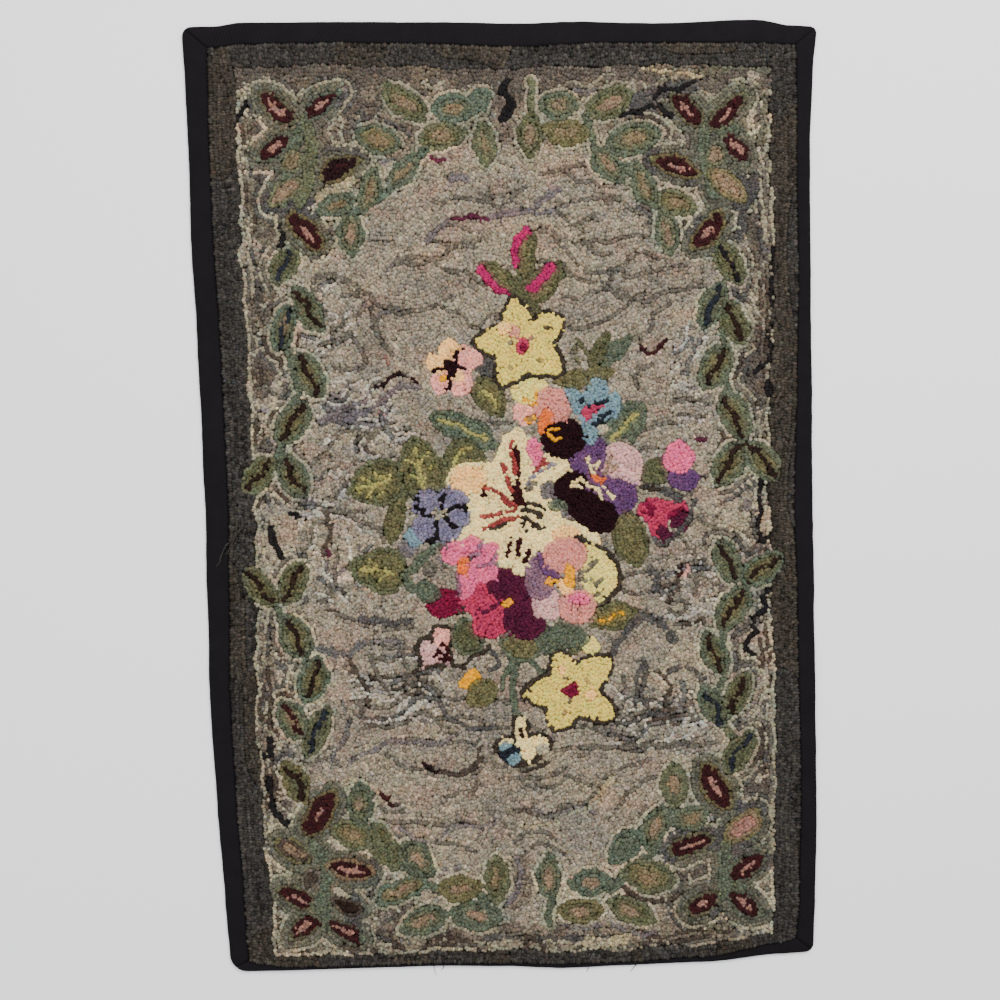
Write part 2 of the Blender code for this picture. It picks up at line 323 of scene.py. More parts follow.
# The two star flowers, with their freckles and red middles.
draw_patches(BOUQUET, (
    Patch("crimson", 523, 348, 8, 8, 40),
    Patch("rose", 522, 347, 15, 13, 60),
    Patch("rose_tan", 529, 339, 6, 4, 60),
    Patch("stone", 510, 344, 4, 5, 0),
    Patch("ochre", 511, 368, 4, 7, 0),
    Patch("ochre", 539, 362, 8, 4, -20),
    Patch("bark", 545, 328, 7, 3.4, 0),
    Patch("peach", 503, 331, 14, 14, 20),
    Patch("blush", 512, 334, 15, 12, -30),
    Patch("crimson", 571, 690, 21, 7, 0),
    Patch("crimson", 571, 689, 8, 16, 0),
    Patch("stone", 566, 678, 4, 4, 0),
    Patch("ochre", 586, 680, 5, 4, 0),
    Patch("ochre", 564, 712, 6, 3.4, 30),
    Patch("stone", 570, 701, 5, 3.4, 0),
    Patch("peach", 590, 694, 14, 12, 30),
    Patch("peach", 560, 668, 6, 10, 0),
))
STAR_LOBES = ((104, 48, 31), (38, 49, 32), (-36, 46, 34), (-120, 45, 33), (173, 50, 32))
draw_star(BOUQUET, 523, 347, STAR_LOBES, "yellow", "outline_brown")
STAR_LOBES = ((112, 41, 31), (40, 50, 32), (-34, 50, 33), (-112, 43, 32), (183, 48, 30))
draw_star(BOUQUET, 571, 690, STAR_LOBES, "yellow", "outline_brown")

# The bud sprig above the bouquet.
draw_lines(BOUQUET, (
    Line("magenta", 8.0, ((516, 263), (514, 250), (518, 239), (526, 231))),
    Line("magenta", 9.0, ((479, 272), (491, 284), (503, 292))),
    Line("magenta", 10.5, ((532, 290), (541, 279), (549, 269))),
))
MOSS_LAYERS = ((4.0, "moss"), (MIDDLE, "olive"))
draw_leaf(BOUQUET, 525, 256, 62, 23, 84, MOSS_LAYERS)
draw_leaf(BOUQUET, 497, 280, 50, 25, -40, MOSS_LAYERS)
draw_leaf(BOUQUET, 543, 285, 56, 29, 52, MOSS_LAYERS)
draw_line(BOUQUET, "moss", ((516, 284), (524, 300), (533, 314)), 15.0)

# The small flower with a dark cross, and the blue-grey shade beside it.
draw_lines(BOUQUET, (
    Line("aubergine", 4.0, ((432, 373), (441, 369), (450, 366))),
    Line("aubergine", 6.0, ((447, 363), (453, 369))),
    Line("aubergine", 4.0, ((453, 367), (467, 370))),
    Line("aubergine", 4.0, ((450, 370), (448, 390))),
    Line("aubergine", 3.8, ((455, 362), (457, 352), (462, 349))),
))
draw_patches(BOUQUET, (
    Patch("gold", 442, 378, 9, 6, 30),
    Patch("peach", 436, 364, 21, 22, 30),
    Patch("peach", 449, 350, 22, 22, 70),
    Patch("peach", 458, 377, 13, 10, 0),
    Patch("pale_pink", 465, 357, 23, 32, 70),
    Patch("pale_pink", 441, 383, 24, 22, 30),
    Patch("pale_pink", 459, 383, 28, 26, 40),
    Patch("pale_pink", 451, 368, 42, 38, 0),
    Patch("slate", 487, 367, 23, 28, 80),
))

# The yellow, pink and plum pansy, and the blue flower on its right.
draw_lines(BOUQUET, (
    Line("gold", 3.4, ((547, 430), (558, 429))),
    Line("gold", 3.4, ((549, 437), (555, 441), (561, 440))),
    Line("gold", 4.0, ((546, 434), (552, 436))),
    Line("gold", 4.0, ((524, 399), (531, 404), (537, 393))),
    Line("ochre", 3.8, ((524, 421), (530, 419))),
    Line("navy", 4.0, ((597, 402), (605, 399))),
    Line("navy", 4.0, ((598, 415), (611, 413))),
    Line("navy", 3.8, ((594, 422), (600, 421))),
    Line("navy", 3.8, ((582, 400), (588, 405))),
))
draw_patches(BOUQUET, (
    Patch("rose", 590, 408, 24, 8, 30),
    Patch("rose", 587, 411, 8, 18, 0),
    Patch("aubergine", 562, 440, 44, 38, 25),
    Patch("orange", 545, 424, 16, 26, -10),
    Patch("gold", 544, 436, 8, 10, 0),
    Patch("blush", 551, 408, 36, 40, 60),
    Patch("pale_yellow", 530, 391, 36, 30, 0),
    Patch("gold", 528, 420, 13, 8, 20),
    Patch("pale_pink", 525, 413, 27, 26, 0),
    Patch("pink", 534, 452, 13, 30, 20),
    Patch("sky", 572, 400, 24, 22, -20),
    Patch("sky", 597, 391, 22, 22, 30),
    Patch("sky", 609, 407, 22, 26, 0),
    Patch("sky", 588, 430, 16, 30, 10),
    Patch("sky", 592, 408, 38, 34, 0),
    Patch("cream_line", 600, 430, 12, 13, 40),
))

# The purple pansy with black lower petals, and the buds that stand to its right.
draw_lines(BOUQUET, (
    Line("cream", 3.8, ((585, 456), (587, 466), (592, 474))),
    Line("cream", 3.6, ((597, 461), (595, 470))),
    Line("cream", 3.8, ((573, 483), (581, 479), (586, 484), (590, 488))),
    Line("cream", 3.6, ((569, 487), (580, 487))),
    Line("cream", 3.8, ((594, 487), (598, 494), (600, 500))),
    Line("cream", 3.6, ((602, 487), (607, 493), (612, 499))),
    Line("ochre", 3.8, ((610, 457), (608, 466), (603, 474))),
    Line("ochre", 3.6, ((618, 466), (610, 473))),
    Line("orange", 6.0, ((594, 478), (600, 480))),
    Line("outline_brown", 4.5, ((638, 485), (645, 489), (658, 489))),
    Line("slate", 8.0, ((643, 487), (655, 487), (668, 493), (676, 497))),
    Line("crimson", 3.8, ((644, 503), (652, 507), (649, 512))),
    Line("crimson", 3.8, ((643, 511), (650, 514))),
    Line("crimson", 4.5, ((681, 506), (674, 513), (668, 516))),
    Line("slate", 5.0, ((694, 500), (688, 520), (672, 538), (659, 546), (653, 538))),
))
draw_patches(BOUQUET, (
    Patch("aubergine", 571, 486, 36, 27, 25),
    Patch("aubergine", 591, 512, 56, 34, -32),
    Patch("purple", 586, 454, 38, 42, 0),
    Patch("purple", 612, 500, 46, 37, 15),
    Patch("purple", 596, 486, 26, 28, 0),
    Patch("lilac_pink", 620, 467, 44, 48, 0),
    Patch("pink", 678, 458, 31, 34, 60),
    Patch("purple", 681, 478, 32, 22, -12),
    Patch("plum", 679, 520, 18, 24, 20),
    Patch("plum", 664, 533, 14, 20, 30),
    Patch("rose", 653, 510, 34, 24, -5),
    Patch("rose", 674, 509, 26, 18, 12),
    Patch("rose", 658, 525, 20, 30, -12),
))
draw_leaf(BOUQUET, 656, 471, 42, 25, 25, ((MIDDLE, "moss"),))
draw_leaf(BOUQUET, 629, 537, 62, 34, -74, MOSS_LAYERS)
draw_leaf(BOUQUET, 623, 427, 64, 36, 50, ((MIDDLE, "teal"),), "vein_yellow", 0.6)

# The lower pansy, with a dark arc outside its pale petals.
draw_lines(BOUQUET, (
    Line("outline_brown", 4.6, (
        (577, 537), (586, 542), (603, 549), (614, 560), (618, 577), (614, 592), (603, 603),
    )),
    Line("stone", 3.4, ((580, 572), (588, 567), (595, 560))),
    Line("stone", 3.4, ((583, 580), (591, 577), (596, 584), (600, 580))),
    Line("stone", 3.4, ((594, 592), (602, 594))),
    Line("gold", 3.4, ((545, 580), (558, 582))),
    Line("purple", 6.0, ((539, 555), (544, 570), (557, 577))),
))
draw_patches(BOUQUET, (
    Patch("gold", 569, 575, 13, 22, 0),
    Patch("peach", 567, 584, 16, 18, 0),
    Patch("pink", 577, 599, 20, 14, 0),
    Patch("blush", 564, 556, 44, 34, 10),
    Patch("blush", 577, 606, 36, 36, 20),
    Patch("pale_yellow", 590, 558, 32, 32, 40),
    Patch("pale_yellow", 600, 577, 32, 48, 0),
    Patch("mauve", 540, 578, 30, 46, 5),
    Patch("lilac_pink", 548, 604, 32, 30, 0),
))
draw_leaf(BOUQUET, 611, 616, 56, 28, 9, MOSS_LAYERS, "gold", 0.5)
draw_leaf(BOUQUET, 569, 635, 42, 24, -8, ((MIDDLE, "teal"),))
draw_oval(BOUQUET, "moss", 574, 649, 14, 10)
draw_oval(BOUQUET, "pale_yellow", 589, 645, 17, 21, 40)

# The crimson and plum pansy, and the pink flower over it.
draw_lines(BOUQUET, (
    Line("plum", 3.6, ((475, 612), (487, 610), (499, 604))),
    Line("gold", 7.0, ((502, 605), (510, 602))),
    Line("mauve", 4.2, ((482, 541), (478, 552), (470, 557))),
    Line("mauve", 4.2, ((497, 553), (488, 565), (478, 567))),
    Line("mauve", 3.8, ((458, 573), (457, 590), (461, 598))),
))
draw_patches(BOUQUET, (
    Patch("orange", 464, 566, 12, 19, 10),
    Patch("pink", 454, 553, 24, 24, 40),
    Patch("pink", 470, 548, 26, 22, 30),
    Patch("pink", 486, 556, 28, 22, 35),
    Patch("pink", 482, 571, 34, 22, 0),
    Patch("pink", 466, 583, 20, 34, -8),
    Patch("plum", 503, 584, 36, 30, -35),
    Patch("plum", 520, 594, 40, 34, -35),
    Patch("plum", 525, 620, 46, 38, 0),
    Patch("rose", 481, 598, 40, 40, 0),
    Patch("rose", 490, 621, 38, 34, -20),
    Patch("plum", 508, 606, 24, 26, 0),
))
draw_patches(BOUQUET, (
    Patch("teal", 428, 592, 28, 22, -20),
    Patch("crimson", 444, 603, 38, 29, 20),
    Patch("bark", 461, 607, 12, 17, 40),
    Patch("stone", 428, 569, 15, 19, 60),
))

# The blue flower on the left, with black lines between its petals.
draw_lines(BOUQUET, (
    Line("black", 4.0, ((416, 500), (418, 511), (425, 517), (433, 516))),
    Line("black", 4.0, ((447, 492), (440, 502), (439, 507))),
    Line("black", 4.0, ((446, 510), (453, 505), (466, 508), (466, 514))),
    Line("black", 4.0, ((444, 516), (450, 522), (455, 526))),
    Line("black", 4.0, ((437, 521), (438, 530), (435, 536), (428, 542))),
))
draw_patches(BOUQUET, (
    Patch("cream_line", 438, 513, 18, 12, 10),
    Patch("periwinkle", 426, 504, 27, 27, 0),
    Patch("periwinkle", 453, 500, 32, 25, -20),
    Patch("periwinkle", 459, 516, 25, 25, -10),
    Patch("periwinkle", 447, 528, 25, 25, 0),
    Patch("periwinkle", 428, 529, 26, 31, 30),
    Patch("sky", 415, 537, 21, 20, 40),
    Patch("lavender_grey", 408, 548, 20, 15, 0),
))

# The lily's stamens, its marks and its six broad petals.
draw_lines(BOUQUET, (
    Line("brick", 4.2, ((512, 441), (511, 452), (514, 470))),
    Line("maroon", 4.0, ((517, 449), (517, 470), (520, 490))),
    Line("brick", 4.2, ((503, 462), (508, 478), (514, 492))),
    Line("brick", 4.0, ((482, 488), (493, 489), (500, 496), (512, 500))),
    Line("maroon", 3.6, ((482, 495), (492, 499))),
    Line("maroon", 8.0, ((516, 489), (520, 503))),
    Line("brick", 6.0, ((503, 497), (514, 506))),
    Line("brick", 4.0, ((481, 516), (492, 514), (502, 511), (515, 509))),
    Line("brick", 4.0, ((482, 527), (493, 524), (505, 519), (516, 517))),
    Line("outline_brown", 3.6, ((491, 528), (504, 523), (514, 521))),
    Line("outline_brown", 5.0, ((519, 504), (531, 505), (542, 508))),
    Line("outline_brown", 4.4, ((521, 511), (532, 514), (541, 517))),
    Line("outline_brown", 4.4, ((522, 519), (531, 522), (540, 529))),
    Line("outline_brown", 4.0, ((523, 526), (528, 532))),
    Line("maroon", 3.8, ((513, 538), (509, 547), (507, 555))),
    Line("maroon", 3.8, ((521, 540), (518, 549), (516, 557))),
    Line("maroon", 3.8, ((530, 546), (527, 555), (524, 561))),
    Line("periwinkle", 3.6, ((527, 485), (537, 474), (546, 469), (556, 465))),
    Line("brick", 3.4, ((533, 472), (539, 467), (546, 463))),
    Line("stone", 3.4, ((525, 491), (535, 484))),
))
draw_patches(BOUQUET, (
    Patch("teal", 559, 505, 22, 14, 5),
    Patch("lavender_grey", 552, 491, 26, 18, -30),
    Patch("lavender_grey", 569, 514, 16, 14, 0),
    Patch("peach", 468, 480, 34, 28, -14),
    Patch("peach", 566, 538, 30, 24, -24),
))
for across, down, length, width, lean in (
    (514, 470, 88, 46, 84),
    (489, 487, 92, 50, -14),
    (552, 476, 70, 44, 42),
    (492, 521, 92, 54, 18),
    (558, 526, 92, 58, -28),
    (524, 560, 112, 52, -84),
):
    draw_leaf(BOUQUET, across, down, length, width, lean, ((MIDDLE, "cream"),))
draw_oval(BOUQUET, "cream", 524, 510, 84, 76)
draw_oval(BOUQUET, "cream", 540, 560, 32, 44, 20)

# The leaves round the bouquet, those with yellow veins first.
draw_heart_leaf(BOUQUET, 373, 485, 58, 46, -160, "vein_yellow")
draw_heart_leaf(BOUQUET, 419, 467, 62, 54, 104, "vein_yellow")
draw_heart_leaf(BOUQUET, 377, 570, 58, 48, 172, "vein_yellow")
draw_lines(BOUQUET, (
    Line("vein_yellow", 4.4, ((470, 449), (460, 451), (454, 460), (452, 473))),
    Line("teal", 9.0, ((452, 537), (436, 548), (420, 560))),
    Line("teal", 8.0, ((420, 560), (404, 572), (412, 590))),
))
draw_oval(BOUQUET, "moss", 463, 461, 42, 44, 50)
draw_leaf(BOUQUET, 396, 518, 56, 20, 80, MOSS_LAYERS)
draw_leaf(BOUQUET, 463, 430, 76, 31, -25, ((4.0, "teal"), (MIDDLE, "blue_teal")), "vein_yellow", 0.7)
draw_leaf(BOUQUET, 489, 397, 46, 31, -52, MOSS_LAYERS, "vein_yellow", 0.5)
draw_leaf(BOUQUET, 581, 359, 46, 16, -70, ((4.0, "moss"), (MIDDLE, "oatmeal")))
draw_leaf(BOUQUET, 598, 352, 46, 15, 62, ((MIDDLE, "moss"),))
draw_leaf(BOUQUET, 614, 352, 46, 18, 48, ((MIDDLE, "teal"),))
draw_leaf(BOUQUET, 583, 378, 66, 21, 10, ((MIDDLE, "olive"),))
draw_leaf(BOUQUET, 467, 637, 40, 30, -70, ((4.0, "teal"), (MIDDLE, "moss")))
draw_leaf(BOUQUET, 519, 645, 44, 34, -30, ((4.5, "teal"), (MIDDLE, "olive")))
draw_leaf(BOUQUET, 548, 640, 44, 24, -40, ((MIDDLE, "teal"),))

# The stem, the gold bud, the pink bud on the left and the small flower at the foot.
draw_lines(BOUQUET, (
    Line("teal", 7.5, ((514, 652), (514, 680), (515, 712))),
    Line("teal", 5.0, ((511, 655), (507, 672), (500, 690))),
    Line("teal", 7.0, ((524, 656), (534, 665), (543, 675))),
    Line("maroon", 3.4, ((437, 650), (444, 653), (449, 658))),
    Line("maroon", 3.4, ((434, 657), (442, 660), (449, 657))),
    Line("maroon", 3.2, ((443, 644), (449, 650))),
    Line("outline_brown", 3.8, ((452, 665), (466, 668), (478, 654), (487, 646))),
    Line("slate", 4.0, ((487, 646), (496, 655), (498, 666), (489, 667))),
    Line("vein_brown", 4.0, ((518, 727), (522, 733))),
))
draw_oval(BOUQUET, "pale_pink", 443, 636, 16, 20, 0, 5.0)
draw_oval(BOUQUET, "lilac_pink", 435, 651, 30, 27, 0, 5.0)
draw_oval(BOUQUET, "outline_brown", 442, 635, 24, 22, 0, 5.0)
draw_oval(BOUQUET, "outline_brown", 434, 651, 37, 33, 0, 5.0)
draw_patches(BOUQUET, (
    Patch("gold", 470, 677, 22, 12, 35),
    Patch("gold", 463, 684, 13, 11, 0),
    Patch("olive", 481, 692, 33, 28, 50),
    Patch("cream", 519, 727, 13, 22, 10),
    Patch("sky", 506, 745, 16, 8, 20),
    Patch("sky", 514, 757, 15, 10, 20),
    Patch("cream_line", 541, 748, 12, 12, -20),
    Patch("cream", 537, 739, 22, 11, -10),
    Patch("cream", 507, 740, 16, 8, 20),
    Patch("cream", 528, 749, 15, 19, 0),
    Patch("cream", 522, 740, 15, 13, 0),
    Patch("navy", 513, 751, 26, 18, 10),
    Patch("outline_brown", 519, 727, 20, 29, 10),
    Patch("outline_brown", 537, 742, 30, 24, -15),
    Patch("outline_brown", 505, 743, 26, 17, 10),
    Patch("outline_brown", 523, 754, 38, 21, 8),
))

# The loops are strips of wool pulled up through the cloth. A row is walked at an even depth from the
# outline, and a bare spot that no row reached is filled with single loops.
STRIP_LOOPS = (7, 30)  # a strip of wool gives this many loops before the next is taken up
Loop = namedtuple("Loop", "x y heading wool shade row column")
Hooking = namedtuple("Hooking", "row_pitch loop_pitch clearance half_along half_across")
FINE = Hooking(row_pitch=3.6, loop_pitch=2.15, clearance=1.8, half_along=2.35, half_across=3.1)  # mm

HOOKING_REACH = 24.0  # mm from an outline, beyond which the rows no longer follow it
NEAR_ROW = 0.5  # mm from the middle of a row, where its walk may start
LOST_ROW = 2.4  # mm from the middle of a row, where its walk ends
STEERING = 0.8  # how much of its distance from the row each loop makes good
FILLING_DEPTH = 0.9  # mm from an outline, where single loops fill what is bare
CLEAR_CELLS = 5  # cells each way that a loop's clearance may reach

free_cells = hookable.copy()


def nearest_cell(x, y):
    """The row and the column of the cell at this place."""
    return int(round((y - ys[0]) / CELL)), int(round((x - xs[0]) / CELL))


def hooked_loops(piece, seed, hooking=FINE):
    """Every loop of this piece, row by row from its outlines inwards."""
    draws = np.random.default_rng(seed)
    row_pitch, loop_pitch = hooking.row_pitch, hooking.loop_pitch
    steps = range(-CLEAR_CELLS, CLEAR_CELLS + 1)
    clear_steps = [
        (row, column) for row in steps for column in steps
        if (row * row + column * column) * CELL**2 < hooking.clearance**2
    ]
    depth = distance_inwards(owner.astype(np.int32) * 100 + wool_at, HOOKING_REACH)
    soft = depth.copy()
    for axis in (0, 1):
        soft = (np.roll(soft, 1, axis) + soft * 2.0 + np.roll(soft, -1, axis)) / 4.0
    slope_y, slope_x = np.gradient(soft)
    size = np.hypot(slope_x, slope_y) + 1e-6
    slope_x, slope_y = (slope_x / size).tolist(), (slope_y / size).tolist()
    row_of = np.floor(depth / row_pitch)
    from_row = np.abs(depth - (row_of + 0.5) * row_pitch)
    mine = owner == piece
    starts = np.argwhere(mine & (from_row < NEAR_ROW))
    order = np.lexsort((starts[:, 1], starts[:, 0], row_of[starts[:, 0], starts[:, 1]]))
    starts = starts[order].tolist()
    left_over = np.argwhere(mine & (depth > FILLING_DEPTH)).tolist()
    depths, free, wools = depth.tolist(), free_cells.tolist(), wool_at.tolist()
    mine = mine.tolist()
    loops = []

    def place(x, y, row, column, heading, shade):
        for step_row, step_column in clear_steps:
            free[row + step_row][column + step_column] = False
        loops.append(Loop(x, y, heading, wools[row][column], shade, row, column))

    def walk(row, column, way):
        level = (math.floor(depths[row][column] / row_pitch) + 0.5) * row_pitch
        wool = wools[row][column]
        x, y = xs[column], ys[row]
        shade, left = draws.normal(), draws.integers(*STRIP_LOOPS)
        first = True
        while True:
            tangent_x, tangent_y = -slope_y[row][column] * way, slope_x[row][column] * way
            if not first or way > 0:
                place(x, y, row, column, math.atan2(tangent_y, tangent_x), shade)
            first = False
            left -= 1
            if left <= 0:
                shade, left = draws.normal(), draws.integers(*STRIP_LOOPS)
            x, y = x + tangent_x * loop_pitch, y + tangent_y * loop_pitch
            row, column = nearest_cell(x, y)
            off = level - depths[row][column]
            if abs(off) > LOST_ROW:
                return
            off = max(-1.0, min(1.0, off)) * STEERING
            x, y = x + slope_x[row][column] * off, y + slope_y[row][column] * off
            row, column = nearest_cell(x, y)
            if not (free[row][column] and mine[row][column] and wools[row][column] == wool):
                return

    for row, column in starts:
        if free[row][column]:
            walk(row, column, 1.0)
            walk(row, column, -1.0)
    for row, column in left_over:
        if free[row][column]:
            heading = math.atan2(slope_x[row][column], -slope_y[row][column])
            place(xs[column], ys[row], row, column, heading, draws.normal())
    free_cells[:] = np.array(free)
    return loops


DIP_REACH = 5  # cells over which a dipped strip takes on the colours beside it
pattern_colour = np.zeros((GRID_DOWN, GRID_ACROSS, 3), np.float32)


def spread_out(field):
    """The mean of this field round each cell."""
    for axis in (0, 1):
        field = sum(np.roll(field, step, axis) for step in range(-DIP_REACH, DIP_REACH + 1))
    return field


def dye(piece, tone=1.0):
    """Colours this piece's cells, each with some of the wools beside it."""
    mine = (owner == piece)[:, :, None]
    plain = wool_dyes[wool_at] * mine * tone
    around = spread_out(plain) / np.maximum(spread_out(mine.astype(np.float32)), 1.0)
    dip = wool_columns.dip[wool_at][:, :, None]
    pattern_colour[mine[:, :, 0]] = (plain * (1.0 - dip) + around * dip)[mine[:, :, 0]]


# One loop is a five-sided tuft: it widens from its foot in the cloth to a ring at its shoulder, and
# closes in a crown.
TUFT_SIDES = 5
CROWN_POINT, FOOT_POINT, TUFT_POINTS = TUFT_SIDES, TUFT_SIDES + 1, TUFT_SIDES + 2
TUFT_FOOT = 1.2  # mm above the floor, like the two below
TUFT_SHOULDER = 5.0
TUFT_CROWN = 7.3
TUFT_WANDER = 0.32  # mm, the usual slip of a loop from its place
TUFT_TURN = 0.35  # radians, the usual twist of a loop against its row
TUFT_TILT = 0.3  # the usual tilt of a loop, where 1 is fully tilted
SHOULDER_TILT = 0.3  # mm that the shoulder rises for each mm outwards on a fully tilted loop
CROWN_TILT = 0.8  # mm that the crown of a fully tilted loop stands aside
TUFT_LIFT, TUFT_SWELL = 0.28, 0.3  # mm, how uneven the loops are one by one and in broad swells
PAINTED_FOOT_SHADE = 0.5  # painted shade: the foot's brightness as a share of the crown's
STRAY = 0.9  # mm
DARKEST, PALEST = 4, 250  # levels of colour


def linear(level):
    """A colour level from 0 to 255 as linear light."""
    share = np.asarray(level, float) / 255.0
    return np.where(share <= 0.04045, share / 12.92, ((share + 0.055) / 1.055) ** 2.4)


def tuft_points(loops, draws, hooking):
    """The points of every tuft in metres: the ring at its shoulder, its crown and its foot."""
    count = len(loops.x)
    x = loops.x + draws.normal(0.0, TUFT_WANDER, count)
    y = loops.y + draws.normal(0.0, TUFT_WANDER, count)
    heading = loops.heading + draws.normal(0.0, TUFT_TURN, count)
    swell = lattice_noise(x, y, 95.0, 70.0, 11) * TUFT_SWELL + lattice_noise(x, y, 11.0, 9.0, 12) * TUFT_SWELL
    lift = draws.normal(0.0, TUFT_LIFT, count) + swell
    size = draws.normal(1.0, 0.09, count)
    tilt = draws.normal(0.0, TUFT_TILT, (count, 2))
    spin = draws.uniform(0.0, 2.0 * math.pi, count)
    angles = spin[:, None] + np.arange(TUFT_SIDES) * 2.0 * math.pi / TUFT_SIDES
    along = np.cos(angles) * (hooking.half_along * size)[:, None]
    beside = np.sin(angles) * (hooking.half_across * size)[:, None]
    cos, sin = np.cos(heading)[:, None], np.sin(heading)[:, None]
    ring_x, ring_y = along * cos - beside * sin, along * sin + beside * cos
    slant = (tilt[:, :1] * ring_x + tilt[:, 1:] * ring_y) * SHOULDER_TILT
    shoulder = (TUFT_SHOULDER + lift)[:, None] + slant
    points = np.empty((count, TUFT_POINTS, 3))
    points[:, :TUFT_SIDES] = np.stack([x[:, None] + ring_x, y[:, None] + ring_y, shoulder], 2)
    aside_x, aside_y = x + tilt[:, 0] * CROWN_TILT, y + tilt[:, 1] * CROWN_TILT
    points[:, CROWN_POINT] = np.stack([aside_x, aside_y, TUFT_CROWN + lift], 1)
    points[:, FOOT_POINT] = np.stack([x, y, np.full(count, TUFT_FOOT)], 1)
    return points * MM


def tuft_colours(loops, draws):
    """The colour of every point of every tuft, strip by strip. The foot is darkened with painted shade, as if
    in the shade of the others.
    """
    # A hooker's eye strays over the drawn line now and then, so two colours bite into each other.
    count = len(loops.x)
    row, column = loops.row.astype(int), loops.column.astype(int)
    near_row = row + np.round(draws.normal(0.0, STRAY / CELL, count)).astype(int)
    near_column = column + np.round(draws.normal(0.0, STRAY / CELL, count)).astype(int)
    same_piece = owner[near_row, near_column] == owner[row, column]
    dyed = pattern_colour[np.where(same_piece, near_row, row), np.where(same_piece, near_column, column)]
    wool = loops.wool.astype(int)
    shade = 1.0 + loops.shade * wool_columns.strip_spread[wool]
    shade = shade + draws.normal(0.0, 1.0, count) * wool_columns.loop_spread[wool]
    warmth, green = draws.normal(0.0, 0.022, count), draws.normal(0.0, 0.010, count)
    level = dyed * np.clip(shade, 0.5, 1.6)[:, None]
    level *= 1.0 + np.stack([warmth - green, green, -warmth - green], 1)
    colour = np.ones((count, TUFT_POINTS, 4), np.float32)
    colour[:, :, :3] = linear(np.clip(level, DARKEST, PALEST))[:, None, :]
    # Painted shade: the foot of each tuft is darkened, as if the tufts round it shaded it.
    colour[:, FOOT_POINT, :3] *= PAINTED_FOOT_SHADE
    return colour


def give_yarn(mesh, colours):
    """Gives each point of the mesh the colour of its yarn."""
    yarn = mesh.color_attributes.new("yarn", "FLOAT_COLOR", "POINT")
    yarn.data.foreach_set("color", np.asarray(colours, np.float32).ravel())


def give_flat_places(mesh, name, places):
    """Gives each face corner the place, in metres, that its point has on the flat cloth."""
    point_of = np.empty(len(mesh.loops), np.int32)
    mesh.loops.foreach_get("vertex_index", point_of)
    mesh.uv_layers.new(name=name).data.foreach_set("uv", places[point_of].astype(np.float32).ravel())


def put_down(name, what):
    """A piece with this mesh, light or camera, put into the scene."""
    piece = bpy.data.objects.new(name, what)
    bpy.context.scene.collection.objects.link(piece)
    return piece


def tufted_piece(name, loops, seed, material, hooking=FINE):
    """One mesh of all these loops."""
    draws = np.random.default_rng(seed)
    loops = Loop(*np.array(loops, float).T)
    points = tuft_points(loops, draws, hooking)
    k = np.arange(TUFT_SIDES)
    after = (k + 1) % TUFT_SIDES
    caps = np.stack([k, after, np.full(TUFT_SIDES, CROWN_POINT)], 1)
    flanks = np.stack([after, k, np.full(TUFT_SIDES, FOOT_POINT)], 1)
    corners = np.arange(len(points))[:, None] * TUFT_POINTS + np.concatenate([caps.ravel(), flanks.ravel()])

    mesh = bpy.data.meshes.new(name)
    mesh.vertices.add(len(points) * TUFT_POINTS)
    mesh.vertices.foreach_set("co", points.astype(np.float32).ravel())
    mesh.loops.add(corners.size)
    mesh.loops.foreach_set("vertex_index", corners.astype(np.int32).ravel())
    mesh.polygons.add(len(points) * 2 * TUFT_SIDES)
    mesh.polygons.foreach_set("loop_start", np.arange(0, corners.size, 3, dtype=np.int32))
    mesh.update(calc_edges=True)
    mesh.shade_smooth()
    give_yarn(mesh, tuft_colours(loops, draws))
    give_flat_places(mesh, "pattern", points.reshape(-1, 3)[:, :2] + 0.5)
    mesh.materials.append(material)
    piece = put_down(name, mesh)
    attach(piece, "root")
    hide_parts("hooked_field")
    return piece


def node(tree, kind, **inputs):
    """A shader node with these inputs set or linked. A name such as i0 is an input's place."""
    made = tree.nodes.new(kind)
    for name, value in inputs.items():
        socket = made.inputs[int(name[1:]) if name[1:].isdigit() else name.replace("_", " ")]
        if isinstance(value, bpy.types.NodeSocket):
            tree.links.new(value, socket)
        else:
            socket.default_value = value
    return made


def maths(tree, operation, *inputs):
    """The result of a maths node."""
    made = node(tree, "ShaderNodeMath", **{f"i{i}": value for i, value in enumerate(inputs)})
    made.operation = operation
    return made.outputs[0]


def mix(tree, share, colour_a, colour_b):
    """The mix of two colours."""
    made = node(tree, "ShaderNodeMix", i0=share, i6=colour_a, i7=colour_b)
    made.data_type = "RGBA"
    return made.outputs[2]


def fabric_group(name, **inputs):
    """A node group with these inputs that puts out a colour and a height, and its two end nodes."""
    group = bpy.data.node_groups.new(name, "ShaderNodeTree")
    for label, kind in inputs.items():
        group.interface.new_socket(label.replace("_", " "), in_out="INPUT", socket_type="NodeSocket" + kind)
    group.interface.new_socket("Colour", in_out="OUTPUT", socket_type="NodeSocketColor")
    group.interface.new_socket("Height", in_out="OUTPUT", socket_type="NodeSocketFloat")
    return group, group.nodes.new("NodeGroupInput"), group.nodes.new("NodeGroupOutput")


